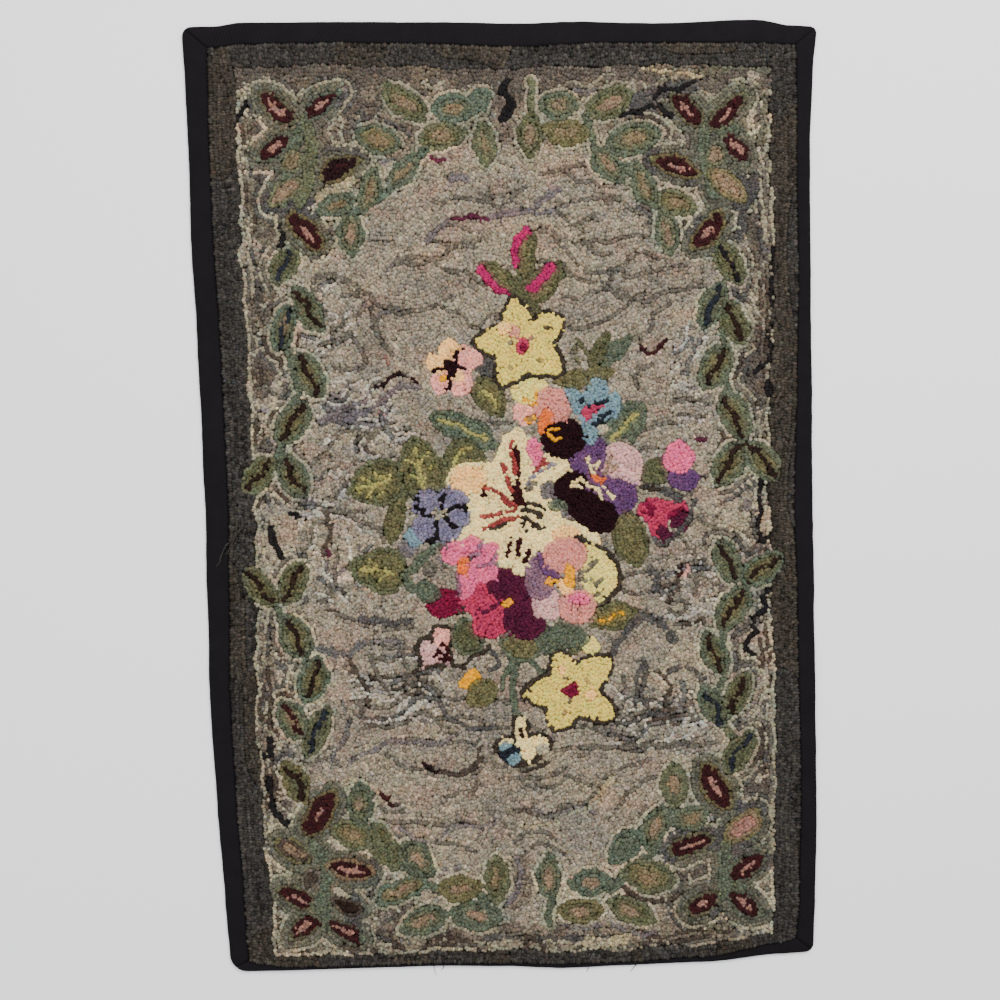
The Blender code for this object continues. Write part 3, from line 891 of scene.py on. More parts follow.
def fibre_group():
    """Spun wool: short fibres lighten and darken the yarn, and a little lint greys it in places."""
    group, given, put = fabric_group("wool fibres", Yarn="Color", Fibre_Contrast="Float", Lint="Float")
    place = group.nodes.new("ShaderNodeTexCoord").outputs["Object"]
    hairs = node(group, "ShaderNodeTexNoise", Vector=place, Scale=1500.0, Detail=3.0, Roughness=0.6)
    strands = node(group, "ShaderNodeTexNoise", Vector=place, Scale=520.0, Detail=2.0, Roughness=0.5)
    patches = node(group, "ShaderNodeTexNoise", Vector=place, Scale=38.0, Detail=3.0, Roughness=0.5)
    mixed = maths(group, "ADD", hairs.outputs["Fac"], strands.outputs["Fac"])
    swing = maths(group, "MULTIPLY", maths(group, "SUBTRACT", mixed, 1.0), given.outputs["Fibre Contrast"])
    gain = maths(group, "ADD", swing, 1.0)
    spun = node(group, "ShaderNodeVectorMath", i0=given.outputs["Yarn"], i3=gain)
    spun.operation = "SCALE"
    dusty = maths(group, "MULTIPLY", patches.outputs["Fac"], given.outputs["Lint"])
    group.links.new(mix(group, dusty, spun.outputs[0], LINT_GREY), put.inputs["Colour"])
    group.links.new(mixed, put.inputs["Height"])
    return group


def fabric(name, group, roughness, shine, bump, rise, **inputs):
    """A material that takes its colour and its height, up to rise in metres, from this node group."""
    made = bpy.data.materials.new(name)
    made.use_nodes = True
    tree = made.node_tree
    shader = tree.nodes["Principled BSDF"]
    shader.inputs["Roughness"].default_value = roughness
    shader.inputs["Specular IOR Level"].default_value = shine
    look = tree.nodes.new("ShaderNodeGroup")
    look.node_tree = group
    for label, value in inputs.items():
        look.inputs[label.replace("_", " ")].default_value = value
    if "Yarn" in look.inputs:
        yarn = tree.nodes.new("ShaderNodeAttribute")
        yarn.attribute_name = "yarn"
        tree.links.new(yarn.outputs["Color"], look.inputs["Yarn"])
    tree.links.new(look.outputs["Colour"], shader.inputs["Base Color"])
    raised = node(tree, "ShaderNodeBump", Height=look.outputs["Height"], Strength=bump, Distance=rise)
    tree.links.new(raised.outputs["Normal"], shader.inputs["Normal"])
    return made


LINT_GREY = (0.30, 0.28, 0.25, 1.0)
fibres = fibre_group()


def wool_material(name, contrast, lint, bump):
    """Hooked wool whose colour is the strip's own, darkened with painted shade at the feet of the tufts."""
    return fabric(
        name, fibres, roughness=0.95, shine=0.03, bump=bump, rise=0.0006, Fibre_Contrast=contrast, Lint=lint
    )


flower_wool = wool_material("flower wool", contrast=0.45, lint=0.0, bump=0.4)
dye(BOUQUET)
bouquet = tufted_piece("bouquet_loops", hooked_loops(BOUQUET, 21), 31, flower_wool)

# The leaf garland's loops
# Pairs of leaves on a thin stem run all the way round inside the border. Those at the top and bottom have
# pale middles, and those at the sides a dark vein between ochre flanks.

GARLAND = 2
Leaf = namedtuple("Leaf", "across down length width lean rim body heart")
ARC_LEAVES = (
    Leaf(404, 105, 58, 27, -38, "sage", "moss", "tan_pink"),
    Leaf(454, 111, 48, 28, -3, "blue_teal", "teal", "ochre"),
    Leaf(378, 141, 54, 27, -20, "teal", "olive", "ochre"),
    Leaf(441, 138, 50, 28, 8, "sage", "olive", "tan_pink"),
    Leaf(484, 145, 47, 24, -82, "sage", "sage", "ochre"),
    Leaf(404, 173, 50, 22, 50, "teal", "teal", "ochre"),
    Leaf(370, 191, 52, 22, 76, "teal", "sage", "ochre"),
    Leaf(336, 206, 44, 22, 20, "teal", "teal", "ochre"),
    Leaf(351, 235, 49, 26, 90, "teal", "sage", "tan_pink"),
    Leaf(478, 101, 30, 22, 60, "blue_teal", "teal", "blue_teal"),
    Leaf(529, 136, 50, 24, 88, "moss", "sage", "tan_pink"),
    Leaf(558, 107, 44, 28, 0, "teal", "sage", "tan_pink"),
    Leaf(565, 134, 50, 27, -8, "olive", "olive", "ochre"),
    Leaf(608, 105, 54, 29, 28, "sage", "moss", "tan_pink"),
    Leaf(632, 141, 58, 33, 14, "teal", "sage", "ochre"),
    Leaf(607, 166, 48, 26, -48, "teal", "sage", "tan_pink"),
    Leaf(643, 187, 54, 24, -65, "teal", "sage", "ochre"),
    Leaf(675, 204, 44, 26, -18, "sage", "olive", "ochre"),
    Leaf(666, 233, 51, 25, -83, "teal", "sage", "tan_pink"),
    Leaf(360, 803, 46, 28, 90, "teal", "sage", "tan_pink"),
    Leaf(351, 835, 48, 28, -20, "sage", "olive", "ochre"),
    Leaf(385, 845, 54, 27, -58, "sage", "moss", "sage"),
    Leaf(418, 857, 48, 26, -45, "teal", "sage", "tan_pink"),
    Leaf(402, 889, 58, 24, 20, "blue_teal", "olive", "tan_pink"),
    Leaf(460, 886, 48, 26, 0, "olive", "olive", "tan_pink"),
    Leaf(423, 919, 53, 26, 25, "teal", "sage", "tan_pink"),
    Leaf(475, 914, 56, 31, -6, "teal", "teal", "tan_pink"),
    Leaf(496, 878, 50, 26, 88, "sage", "moss", "ochre"),
    Leaf(549, 877, 52, 25, -86, "teal", "sage", "tan_pink"),
    Leaf(590, 881, 48, 28, 3, "teal", "blue_teal", "tan_pink"),
    Leaf(580, 909, 48, 24, 0, "olive", "moss", "tan_pink"),
    Leaf(624, 845, 46, 28, 50, "blue_teal", "teal", "teal"),
    Leaf(647, 875, 58, 34, -10, "sage", "olive", "ochre"),
    Leaf(630, 909, 50, 27, -22, "sage", "moss", "tan_pink"),
    Leaf(654, 826, 50, 26, 68, "teal", "sage", "tan_pink"),
    Leaf(673, 784, 47, 28, 88, "sage", "sage", "tan_pink"),
    Leaf(689, 816, 44, 26, 20, "teal", "sage", "ochre"),
)
SIDE_LEAVES = (
    Leaf(285, 268, 44, 26, 64, "sage", "moss", "navy"),
    Leaf(309, 311, 54, 26, -60, "teal", "sage", "vein_brown"),
    Leaf(284, 329, 52, 26, 76, "blue_teal", "ochre", "navy"),
    Leaf(310, 377, 52, 30, -65, "teal", "olive", "vein_brown"),
    Leaf(293, 422, 54, 30, 60, "teal", "olive", "vein_brown"),
    Leaf(260, 475, 50, 27, 46, "sage", "olive", "vein_brown"),
    Leaf(294, 476, 50, 28, -62, "teal", "olive", "vein_brown"),
    Leaf(260, 587, 50, 28, -50, "sage", "olive", "vein_brown"),
    Leaf(294, 584, 50, 28, 66, "sage", "olive", "vein_brown"),
    Leaf(296, 637, 52, 31, -64, "teal", "olive", "vein_brown"),
    Leaf(313, 679, 48, 30, 68, "blue_teal", "olive", "vein_brown"),
    Leaf(293, 720, 46, 28, -62, "teal", "ochre", "maroon"),
    Leaf(317, 731, 58, 24, 66, "sage", "sage", "navy"),
    Leaf(296, 780, 50, 24, -62, "olive", "sage", "vein_brown"),
    Leaf(728, 265, 52, 27, -62, "sage", "olive", "black"),
    Leaf(711, 305, 54, 25, 66, "teal", "sage", "navy"),
    Leaf(732, 322, 50, 28, -66, "sage", "moss", "vein_brown"),
    Leaf(714, 368, 54, 31, 62, "teal", "olive", "vein_brown"),
    Leaf(732, 416, 54, 31, -65, "teal", "olive", "vein_brown"),
    Leaf(728, 464, 52, 31, 62, "teal", "olive", "vein_brown"),
    Leaf(761, 461, 50, 32, -48, "teal", "olive", "vein_brown"),
    Leaf(727, 560, 50, 28, -60, "teal", "sage", "vein_brown"),
    Leaf(761, 568, 52, 30, 40, "blue_teal", "olive", "vein_brown"),
    Leaf(732, 607, 52, 31, 57, "teal", "olive", "vein_brown"),
    Leaf(714, 654, 50, 27, -64, "teal", "olive", "vein_brown"),
    Leaf(736, 694, 50, 25, 68, "sage", "olive", "vein_brown"),
    Leaf(712, 705, 50, 25, -60, "teal", "sage", "navy"),
    Leaf(738, 750, 50, 25, 60, "sage", "moss", "navy"),
)
STEMS = (
    Line("blue_teal", 9.0, ((345, 215), (368, 208), (392, 190), (418, 160), (440, 128))),
    Line("sage", 7.0, ((530, 84), (530, 122))),
    Line("teal", 8.0, ((585, 118), (592, 150), (625, 168), (655, 205), (664, 216))),
    Line("teal", 7.0, ((277, 345), (291, 352), (298, 395), (282, 440), (277, 458))),
    Line("teal", 7.0, ((275, 604), (281, 617), (306, 660), (304, 700))),
    Line("teal", 7.0, ((722, 330), (724, 386), (738, 438), (744, 452))),
    Line("teal", 7.0, ((745, 584), (722, 632), (724, 676), (718, 688))),
    Line("sage", 6.0, ((725, 724), (730, 734))),
    Line("teal", 8.0, ((360, 824), (385, 850), (425, 880), (442, 890))),
    Line("teal", 7.0, ((549, 900), (550, 921))),
    Line("teal", 8.0, ((610, 890), (628, 868), (655, 848), (672, 806))),
    Line("teal", 7.0, ((476, 890), (486, 900))),
)
for leaf in ARC_LEAVES:
    third = leaf.width / 6.0
    layers = ((third + 0.4, leaf.rim), (2.0 * third, leaf.body), (MIDDLE, leaf.heart))
    draw_leaf(GARLAND, *leaf[:5], layers)
for leaf in SIDE_LEAVES:
    layers = ((4.0, leaf.rim), (8.2, "sage" if leaf.rim == "teal" else "moss"), (MIDDLE, leaf.body))
    draw_leaf(GARLAND, *leaf[:5], layers, leaf.heart, 0.8)
draw_lines(GARLAND, STEMS)

leaf_wool = wool_material("leaf wool", contrast=0.6, lint=0.02, bump=0.5)
dye(GARLAND)
garland = tufted_piece("garland_loops", hooked_loops(GARLAND, 22), 32, leaf_wool)

# The corner sprays' loops
# Six or seven narrow leaves stand round a blue-green stalk in each corner. Each has a pink middle, a
# maroon row round it and an outer row of sage.

SPRAYS = 3
SprayLeaf = namedtuple("SprayLeaf", "across down length width lean heart rim outside")
SPRAY_LEAVES = (
    SprayLeaf(276, 109, 42, 15, -41, "rose_tan", "maroon", "sage"),
    SprayLeaf(321, 108, 42, 13, 41, "rose_tan", "maroon", "blue_teal"),
    SprayLeaf(276, 148, 37, 14, 40, "rose_tan", "maroon", "teal"),
    SprayLeaf(293, 163, 14, 12, 0, "ochre", "ochre", "sage"),
    SprayLeaf(285, 193, 38, 13, 36, "tan_pink", "tan_pink", "sage"),
    SprayLeaf(340, 170, 38, 16, 25, "maroon", "aubergine", "olive"),
    SprayLeaf(306, 233, 47, 17, -52, "rose_tan", "maroon", "olive"),
    SprayLeaf(685, 111, 41, 15, -48, "rose_tan", "maroon", "sage"),
    SprayLeaf(725, 114, 46, 15, 42, "rose_tan", "maroon", "sage"),
    SprayLeaf(734, 149, 38, 14, -50, "rose_tan", "maroon", "teal"),
    SprayLeaf(675, 168, 46, 15, -18, "rose_tan", "maroon", "olive"),
    SprayLeaf(726, 187, 42, 16, -46, "tan_pink", "ochre", "olive"),
    SprayLeaf(715, 157, 14, 11, 0, "tan_pink", "tan_pink", "sage"),
    SprayLeaf(707, 233, 43, 18, 52, "rose_tan", "maroon", "olive"),
    SprayLeaf(320, 812, 48, 21, 56, "rose_tan", "maroon", "olive"),
    SprayLeaf(294, 850, 34, 16, -38, "tan_pink", "bark", "olive"),
    SprayLeaf(351, 867, 43, 14, -8, "rose_tan", "maroon", "ochre"),
    SprayLeaf(297, 896, 36, 15, -34, "rose_tan", "maroon", "sage"),
    SprayLeaf(305, 926, 34, 13, 36, "rose_tan", "maroon", "sage"),
    SprayLeaf(345, 930, 37, 13, -28, "rose_tan", "maroon", "teal"),
    SprayLeaf(347, 905, 26, 8, -20, "vein_brown", "vein_brown", "bark"),
    SprayLeaf(310, 880, 18, 9, 45, "bark", "bark", "stone"),
    SprayLeaf(714, 786, 50, 20, -57, "rose_tan", "maroon", "olive"),
    SprayLeaf(690, 843, 43, 15, 18, "rose_tan", "maroon", "sage"),
    SprayLeaf(742, 826, 40, 19, 42, "rose_tan", "ochre", "olive"),
    SprayLeaf(745, 864, 38, 17, 32, "rose_tan", "maroon", "teal"),
    SprayLeaf(701, 902, 33, 15, 28, "rose_tan", "maroon", "sage"),
    SprayLeaf(743, 902, 38, 14, -35, "rose_tan", "maroon", "teal"),
)
SPRAY_STALKS = (
    Line("sage", 13.0, ((305, 122), (312, 150), (308, 180), (300, 202))),
    Line("teal", 10.0, ((298, 132), (288, 178), (282, 205))),
    Line("teal", 12.0, ((704, 130), (702, 150), (708, 176), (714, 196))),
    Line("teal", 9.0, ((705, 128), (722, 134), (734, 130))),
    Line("teal", 13.0, ((316, 842), (326, 868), (325, 900), (326, 922))),
    Line("teal", 9.0, ((326, 905), (312, 910))),
    Line("teal", 12.0, ((728, 838), (722, 862), (722, 890), (716, 900))),
    Line("teal", 9.0, ((722, 880), (740, 884))),
    Line("cream_line", 10.0, ((340, 890), (346, 896))),
)
OUTSIDE_ROW = 3.7  # mm
NARROW_HEART = 2.7  # mm each way from the middle of a maroon leaf
for leaf in SPRAY_LEAVES:
    half_width = 0.5 * leaf.width + 4.0
    rim_depth = half_width - NARROW_HEART if leaf.rim in ("maroon", "aubergine") else OUTSIDE_ROW + 3.2
    layers = ((OUTSIDE_ROW, leaf.outside), (rim_depth, leaf.rim), (MIDDLE, leaf.heart))
    draw_leaf(SPRAYS, leaf.across, leaf.down, leaf.length + 9.0, 2.0 * half_width, leaf.lean, layers)
draw_lines(SPRAYS, SPRAY_STALKS)

dye(SPRAYS)
sprays = tufted_piece("spray_loops", hooked_loops(SPRAYS, 23), 33, leaf_wool)

# The border's loops
# Dark undyed wool in straight rows along all four edges, wider at the sides than at the foot.

BORDER = 4
BORDER_WIDTHS = {"top": 23.0, "right": 25.0, "bottom": 12.0, "left": 27.0}
WHOLE = (slice(None), slice(None))
wave = rug_noise(60.0, 60.0, 5) * 2.2 + drift_right
inside_border = np.minimum.reduce([inside[side] - BORDER_WIDTHS[side] for side in SIDES]) + wave
brownish = rug_noise(46.0, 120.0, 6) > 0.25
draw(WHOLE, (inside_border < 0.0) & brownish, BORDER, "border_brown")
draw(WHOLE, inside_border < 0.0, BORDER, "border_charcoal")

COARSE = Hooking(row_pitch=4.3, loop_pitch=2.75, clearance=2.3, half_along=2.5, half_across=3.2)  # mm
border_wool = wool_material("border wool", contrast=0.7, lint=0.01, bump=0.6)
dye(BORDER)
border = tufted_piece("border_loops", hooked_loops(BORDER, 24, COARSE), 34, border_wool, COARSE)

# The loose ends
# Two border strips have pulled out at the left edge and hang over the tape, and a few threads of the
# foundation stand out at the foot. Each has a root, a tip and a thickness that falls between them.

LooseEnd = namedtuple("LooseEnd", "wool root_radius tip_radius points")
LOOSE_ENDS = (
    LooseEnd("border_charcoal", 2.1, 0.6, (
        (243, 518, 6.0), (244, 527, 8.3), (238, 534, 8.4), (231, 541, 7.0),
        (225, 548, 5.5), (222, 555, 4.9), (221, 561, 4.7), (217, 566, 4.5),
    )),
    LooseEnd("border_brown", 1.6, 0.7, (
        (237, 519, 6.0), (238, 527, 8.2), (236, 536, 8.4), (234, 543, 7.4), (230, 549, 6.0), (227, 555, 5.2),
    )),
    LooseEnd("black", 0.25, 0.15, ((433, 962, 1.6), (434, 969, 1.2), (436, 975, 0.6))),
    LooseEnd("black", 0.5, 0.2, ((440, 962, 1.8), (444, 966, 1.5), (441, 969, 1.2))),
    LooseEnd("black", 0.5, 0.2, ((584, 961, 1.8), (588, 967, 1.4), (586, 971, 0.8))),
    LooseEnd("black", 0.5, 0.2, ((637, 960, 1.8), (634, 966, 1.4), (629, 971, 0.8))),
)
STRAND_SIDES = 5
STRAND_STEP = 0.9  # mm


def tube_faces(rings, sides):
    """The faces of a closed tube whose points are given ring by ring."""
    faces = []
    for ring in range(rings - 1):
        for side in range(sides):
            a, b = ring * sides + side, ring * sides + (side + 1) % sides
            faces.append((a, b, b + sides, a + sides))
    faces.append(tuple(range(sides))[::-1])
    faces.append(tuple(range((rings - 1) * sides, rings * sides)))
    return faces


def loose_strand(loose, seed):
    """The points and faces of one strand, as a tube that thins to its tip."""
    draws = np.random.default_rng(seed)
    bends = np.array(loose.points, float)
    bends[:, 0] -= SHEET_LEFT
    bends[:, 1] = SHEET_TOP - bends[:, 1]
    run = np.concatenate([[0.0], np.cumsum(np.linalg.norm(np.diff(bends, axis=0), axis=1))])
    steps = max(4, int(run[-1] / STRAND_STEP))
    at = np.linspace(0.0, run[-1], steps)
    path = np.stack([np.interp(at, run, bends[:, axis]) for axis in range(3)], 1)
    path[1:-1, :2] += draws.normal(0.0, 0.45 * loose.root_radius, (steps - 2, 2))
    for _ in range(3):
        path[1:-1] = (path[:-2] + 2.0 * path[1:-1] + path[2:]) / 4.0
    ahead = np.gradient(path, axis=0)
    ahead /= np.linalg.norm(ahead, axis=1)[:, None]
    sideways = np.cross(ahead, (0.0, 0.0, 1.0))
    sideways /= np.linalg.norm(sideways, axis=1)[:, None]
    upwards = np.cross(sideways, ahead)
    radius = np.linspace(loose.root_radius, loose.tip_radius, steps) * draws.normal(1.0, 0.16, steps)
    angles = np.arange(STRAND_SIDES) * 2.0 * math.pi / STRAND_SIDES + at[:, None] * 0.5
    across = sideways[:, None] * np.cos(angles)[:, :, None] + upwards[:, None] * np.sin(angles)[:, :, None]
    rings = path[:, None] + across * radius[:, None, None]
    return rings.reshape(-1, 3), tube_faces(steps, STRAND_SIDES)


strand_points, strand_faces, strand_colours = [], [], []
for number, loose in enumerate(LOOSE_ENDS):
    points, faces = loose_strand(loose, 80 + number)
    base = sum(len(others) for others in strand_points)
    strand_faces += [tuple(corner_at + base for corner_at in face) for face in faces]
    strand_points.append(points)
    strand_colours += [(*linear(WOOLS[loose.wool][:3]), 1.0)] * len(points)
strand_mesh = bpy.data.meshes.new("loose_ends")
strand_mesh.from_pydata((np.concatenate(strand_points) * MM).tolist(), [], strand_faces)
strand_mesh.shade_smooth()
give_yarn(strand_mesh, strand_colours)
strand_mesh.materials.append(border_wool)
loose_ends = put_down("loose_ends", strand_mesh)
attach(loose_ends, "root")
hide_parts("hooked_field")

# The ground's loops
# Oatmeal wools from many garments fill what is left. A pale row follows each leaf, and single dark rows
# wander between them like the lines of a map.

GROUND = 5
ACCENTS = (
    Line("plum", 3.8, ((452, 219), (462, 222), (474, 218), (486, 221))),
    Line("lavender_grey", 6.5, ((427, 242), (440, 228), (452, 219))),
    Line("lavender_grey", 8.0, ((486, 219), (505, 214), (530, 210), (548, 195), (556, 190))),
    Line("black", 7.0, ((505, 84), (500, 92), (511, 103), (506, 116), (500, 123))),
    Line("black", 4.5, ((624, 113), (640, 112), (655, 108), (670, 117))),
    Line("black", 5.0, ((652, 102), (660, 92), (676, 90), (694, 82))),
    Line("cream_line", 4.0, ((569, 82), (580, 86), (590, 87), (600, 78), (612, 75))),
    Line("straw", 4.5, ((642, 70), (660, 75), (680, 73), (698, 78))),
    Line("slate", 15.0, ((626, 102), (645, 101), (662, 94), (692, 86))),
    Line("pale_sage", 3.6, ((735, 66), (750, 63), (770, 66))),
    Line("sage_grey", 9.0, ((700, 74), (720, 70), (745, 70), (766, 74))),
    Line("sage_grey", 5.0, ((757, 86), (763, 100), (762, 126), (758, 146))),
    Line("slate", 9.0, ((752, 178), (750, 196), (738, 212), (742, 228), (736, 240))),
    Line("cream_line", 4.5, ((423, 84), (432, 91), (440, 87), (448, 82))),
    Line("black", 4.0, ((245, 103), (242, 113), (237, 125))),
    Line("black", 5.0, ((279, 228), (283, 236), (280, 247))),
    Line("aubergine", 3.8, ((374, 389), (382, 388), (392, 378), (402, 374), (411, 378), (420, 384))),
    Line("lavender_grey", 7.0, ((318, 421), (345, 416), (370, 410), (388, 396), (403, 386), (419, 388))),
    Line("stone", 4.0, ((330, 446), (338, 434), (352, 430), (368, 438), (384, 428), (396, 422))),
    Line("black", 6.5, ((271, 528), (274, 543), (282, 557))),
    Line("black", 4.5, ((289, 513), (297, 513), (304, 519))),
    Line("bark", 4.5, ((326, 512), (333, 530), (327, 545), (326, 553))),
    Line("plum", 3.8, ((327, 545), (330, 555))),
    Line("stone", 4.0, ((328, 508), (345, 512), (362, 522), (381, 527), (386, 541))),
    Line("stone", 4.0, ((337, 552), (337, 576), (330, 596), (320, 603))),
    Line("slate", 6.5, ((362, 619), (380, 621), (410, 622))),
    Line("stone", 4.0, ((374, 629), (392, 628), (413, 627))),
    Line("lavender_grey", 5.0, ((364, 642), (380, 639), (402, 642))),
    Line("blue_grey", 7.0, ((320, 648), (335, 655), (352, 655), (361, 644))),
    Line("bark", 3.6, ((353, 660), (356, 672), (366, 684), (369, 695), (370, 705))),
    Line("stone", 3.7, (
        (386, 657), (372, 655), (377, 668), (382, 680), (388, 694),
        (398, 700), (408, 695), (411, 684), (404, 675),
    )),
    Line("stone", 3.8, ((402, 647), (404, 662), (408, 674), (416, 680), (426, 678))),
    Line("slate", 4.0, (
        (358, 714), (370, 719), (388, 719), (402, 712), (412, 699), (420, 696),
        (436, 700), (444, 712), (452, 720), (468, 726), (490, 727),
    )),
    Line("pale_grey", 3.7, (
        (360, 718), (372, 723), (390, 723), (404, 717), (414, 705), (422, 702), (434, 707),
    )),
    Line("stone", 4.0, (
        (354, 710), (366, 726), (388, 728), (406, 723), (416, 712),
        (424, 710), (434, 718), (443, 728), (456, 731),
    )),
    Line("lavender_grey", 4.5, ((350, 760), (376, 748), (392, 739), (412, 742), (440, 743), (454, 732))),
    Line("blue_grey", 4.0, ((342, 700), (349, 718), (343, 738), (332, 760))),
    Line("black", 4.5, ((772, 346), (768, 362), (758, 370), (746, 377))),
    Line("black", 10.0, ((769, 384), (773, 397))),
    Line("black", 4.6, ((758, 481), (757, 496), (759, 512), (755, 528), (759, 541), (770, 538))),
    Line("black", 4.2, ((766, 587), (762, 597), (764, 609), (756, 616), (753, 625), (757, 632), (745, 640))),
    Line("black", 4.6, ((745, 640), (742, 647), (753, 653))),
    Line("black", 4.6, ((773, 252), (769, 280), (771, 306), (768, 336))),
    Line("maroon", 3.6, ((639, 347), (648, 355), (656, 351), (664, 341))),
    Line("plum", 3.4, ((696, 440), (705, 441))),
    Line("maroon", 3.4, ((680, 562), (678, 574))),
    Line("pale_pink", 3.4, ((685, 566), (684, 574))),
    Line("bark", 4.0, ((678, 575), (673, 590), (668, 602))),
    Line("black", 6.0, ((272, 738), (271, 748))),
    Line("black", 5.0, ((269, 778), (271, 794), (274, 808), (286, 824))),
    Line("black", 4.0, ((264, 757), (271, 752))),
    Line("aubergine", 3.8, ((420, 761), (427, 767), (436, 771))),
    Line("bark", 6.0, ((430, 768), (447, 771), (458, 774), (470, 768), (479, 759), (478, 748))),
    Line("stone", 3.8, ((664, 546), (668, 538), (680, 538), (686, 546), (694, 551), (696, 563))),
    Line("stone", 3.8, ((690, 575), (699, 583), (694, 592), (702, 600))),
    Line("slate", 8.0, ((616, 642), (628, 630), (640, 617), (652, 617), (664, 628), (672, 640))),
    Line("slate", 6.0, ((616, 642), (612, 656))),
    Line("slate", 8.0, ((649, 570), (656, 578), (653, 590))),
    Line("slate", 3.8, ((350, 128), (362, 121), (378, 120), (396, 126), (410, 138))),
    Line("slate", 3.8, ((318, 158), (332, 151), (350, 151), (368, 160))),
    Line("stone", 4.0, ((668, 604), (680, 600), (688, 606), (676, 614), (668, 610))),
    Line("pale_grey", 4.0, ((664, 616), (680, 618), (700, 610), (712, 612))),
    Line("slate", 4.0, ((634, 704), (636, 684), (641, 658), (647, 674), (640, 692), (650, 712), (668, 714))),
    Line("bark", 3.8, ((656, 670), (664, 678), (671, 688), (663, 700), (670, 716))),
    Line("slate", 3.8, ((666, 672), (682, 666), (696, 672), (700, 684))),
    Line("blue_grey", 6.0, ((681, 682), (684, 696), (680, 710))),
    Line("stone", 4.0, ((622, 676), (624, 694), (617, 712), (628, 722))),
    Line("outline_brown", 4.0, ((525, 770), (535, 766), (547, 761))),
    Line("maroon", 3.4, ((381, 793), (388, 798), (391, 804))),
    Line("bark", 3.4, ((391, 804), (399, 801))),
    Line("lavender_grey", 3.8, (
        (399, 825), (410, 836), (427, 843), (440, 834), (450, 826), (477, 827), (495, 821),
    )),
    Line("stone", 3.6, ((514, 840), (525, 830), (544, 831), (560, 842))),
    Line("stone", 3.6, ((521, 853), (537, 843), (556, 847), (568, 858))),
    Line("lavender_grey", 6.0, ((515, 856), (520, 870), (517, 886), (509, 900))),
    Line("bark", 3.8, ((389, 930), (395, 941), (406, 949))),
    Line("bark", 3.8, ((424, 948), (436, 940), (446, 931), (458, 939), (472, 943), (482, 949))),
    Line("bark", 3.6, ((335, 943), (352, 946), (376, 949))),
    Line("bark", 3.8, ((522, 948), (527, 936), (540, 940), (548, 948))),
    Line("bark", 4.4, ((614, 878), (624, 889), (640, 897), (654, 901), (670, 898), (682, 890))),
    Line("lavender_grey", 4.0, ((610, 923), (625, 931), (640, 935), (656, 930))),
    Line("lavender_grey", 4.0, ((566, 924), (580, 928), (598, 923))),
    Line("straw", 10.0, ((586, 940), (605, 941), (624, 938))),
    Line("stone", 3.6, ((560, 950), (600, 951), (640, 948), (680, 942), (720, 936), (748, 931))),
    Line("straw", 12.0, ((320, 200), (336, 190), (352, 182))),
    Line("rose_tan", 4.0, ((385, 357), (389, 364))),
    Line("rose_tan", 4.0, ((378, 412), (385, 415))),
    Line("plum", 3.4, ((428, 159), (440, 161), (452, 160))),
    Line("straw", 3.7, ((520, 824), (540, 824), (556, 820))),
    Line("straw", 6.0, ((600, 794), (606, 784), (612, 776))),
    Line("pale_sage", 3.7, ((566, 812), (590, 808), (600, 799))),
    Line("lavender_grey", 8.0, ((448, 180), (458, 176), (469, 180))),
)
# Single rows of a browner grey, one loop wide, that curl through the plain ground.
CURLING_ROWS = (
    ((430, 201), (440, 204), (452, 198), (474, 204), (498, 196)),
    ((396, 262), (420, 259), (440, 259), (452, 250), (468, 246), (480, 240)),
    ((350, 282), (332, 276), (316, 278), (313, 290), (320, 306), (330, 320), (332, 334)),
    ((344, 296), (358, 292), (371, 295), (381, 306), (400, 315), (428, 309), (452, 298)),
    ((373, 308), (376, 333), (384, 347), (392, 353)),
    ((331, 350), (340, 340), (350, 338), (362, 350), (368, 361), (356, 370), (343, 372), (333, 364)),
    ((540, 174), (566, 172), (580, 182), (594, 186), (612, 188), (628, 190)),
    ((556, 202), (558, 216), (572, 226), (588, 222), (596, 216)),
    ((582, 230), (584, 244), (596, 254), (612, 254)),
    (
        (540, 230), (554, 236), (564, 252), (576, 268), (596, 274),
        (620, 272), (628, 260), (646, 254), (658, 262),
    ),
    (
        (566, 298), (580, 302), (596, 292), (606, 289), (618, 296),
        (634, 302), (652, 300), (664, 291), (700, 288),
    ),
    ((650, 366), (636, 370), (632, 380), (640, 392)),
    ((551, 752), (573, 747), (606, 745), (636, 745), (676, 743), (718, 742)),
    ((566, 725), (588, 727), (601, 730), (610, 723)),
    ((500, 778), (520, 776), (540, 779), (566, 763)),
    ((513, 809), (540, 813), (553, 815), (562, 804), (588, 802), (597, 789), (603, 778)),
)
CURLING_WIDTH = 4.4  # mm
draw_lines(GROUND, ACCENTS + tuple(Line("stone", CURLING_WIDTH, points) for points in CURLING_ROWS))

Zone = namedtuple("Zone", "across down half_across half_down")
CORNERS = (
    Zone(292, 150, 66, 92),
    Zone(706, 150, 70, 92),
    Zone(318, 878, 58, 76),
    Zone(722, 860, 54, 78),
)


def zone_share(zones):
    """From 0 outside these zones to 1 at their middles."""
    share = np.zeros_like(cells_x)
    for zone in zones:
        right = (cells_x + SHEET_LEFT - zone.across) / zone.half_across
        down = (SHEET_TOP - cells_y - zone.down) / zone.half_down
        share = np.maximum(share, np.clip(1.5 - np.hypot(right, down), 0.0, 1.0))
    return share


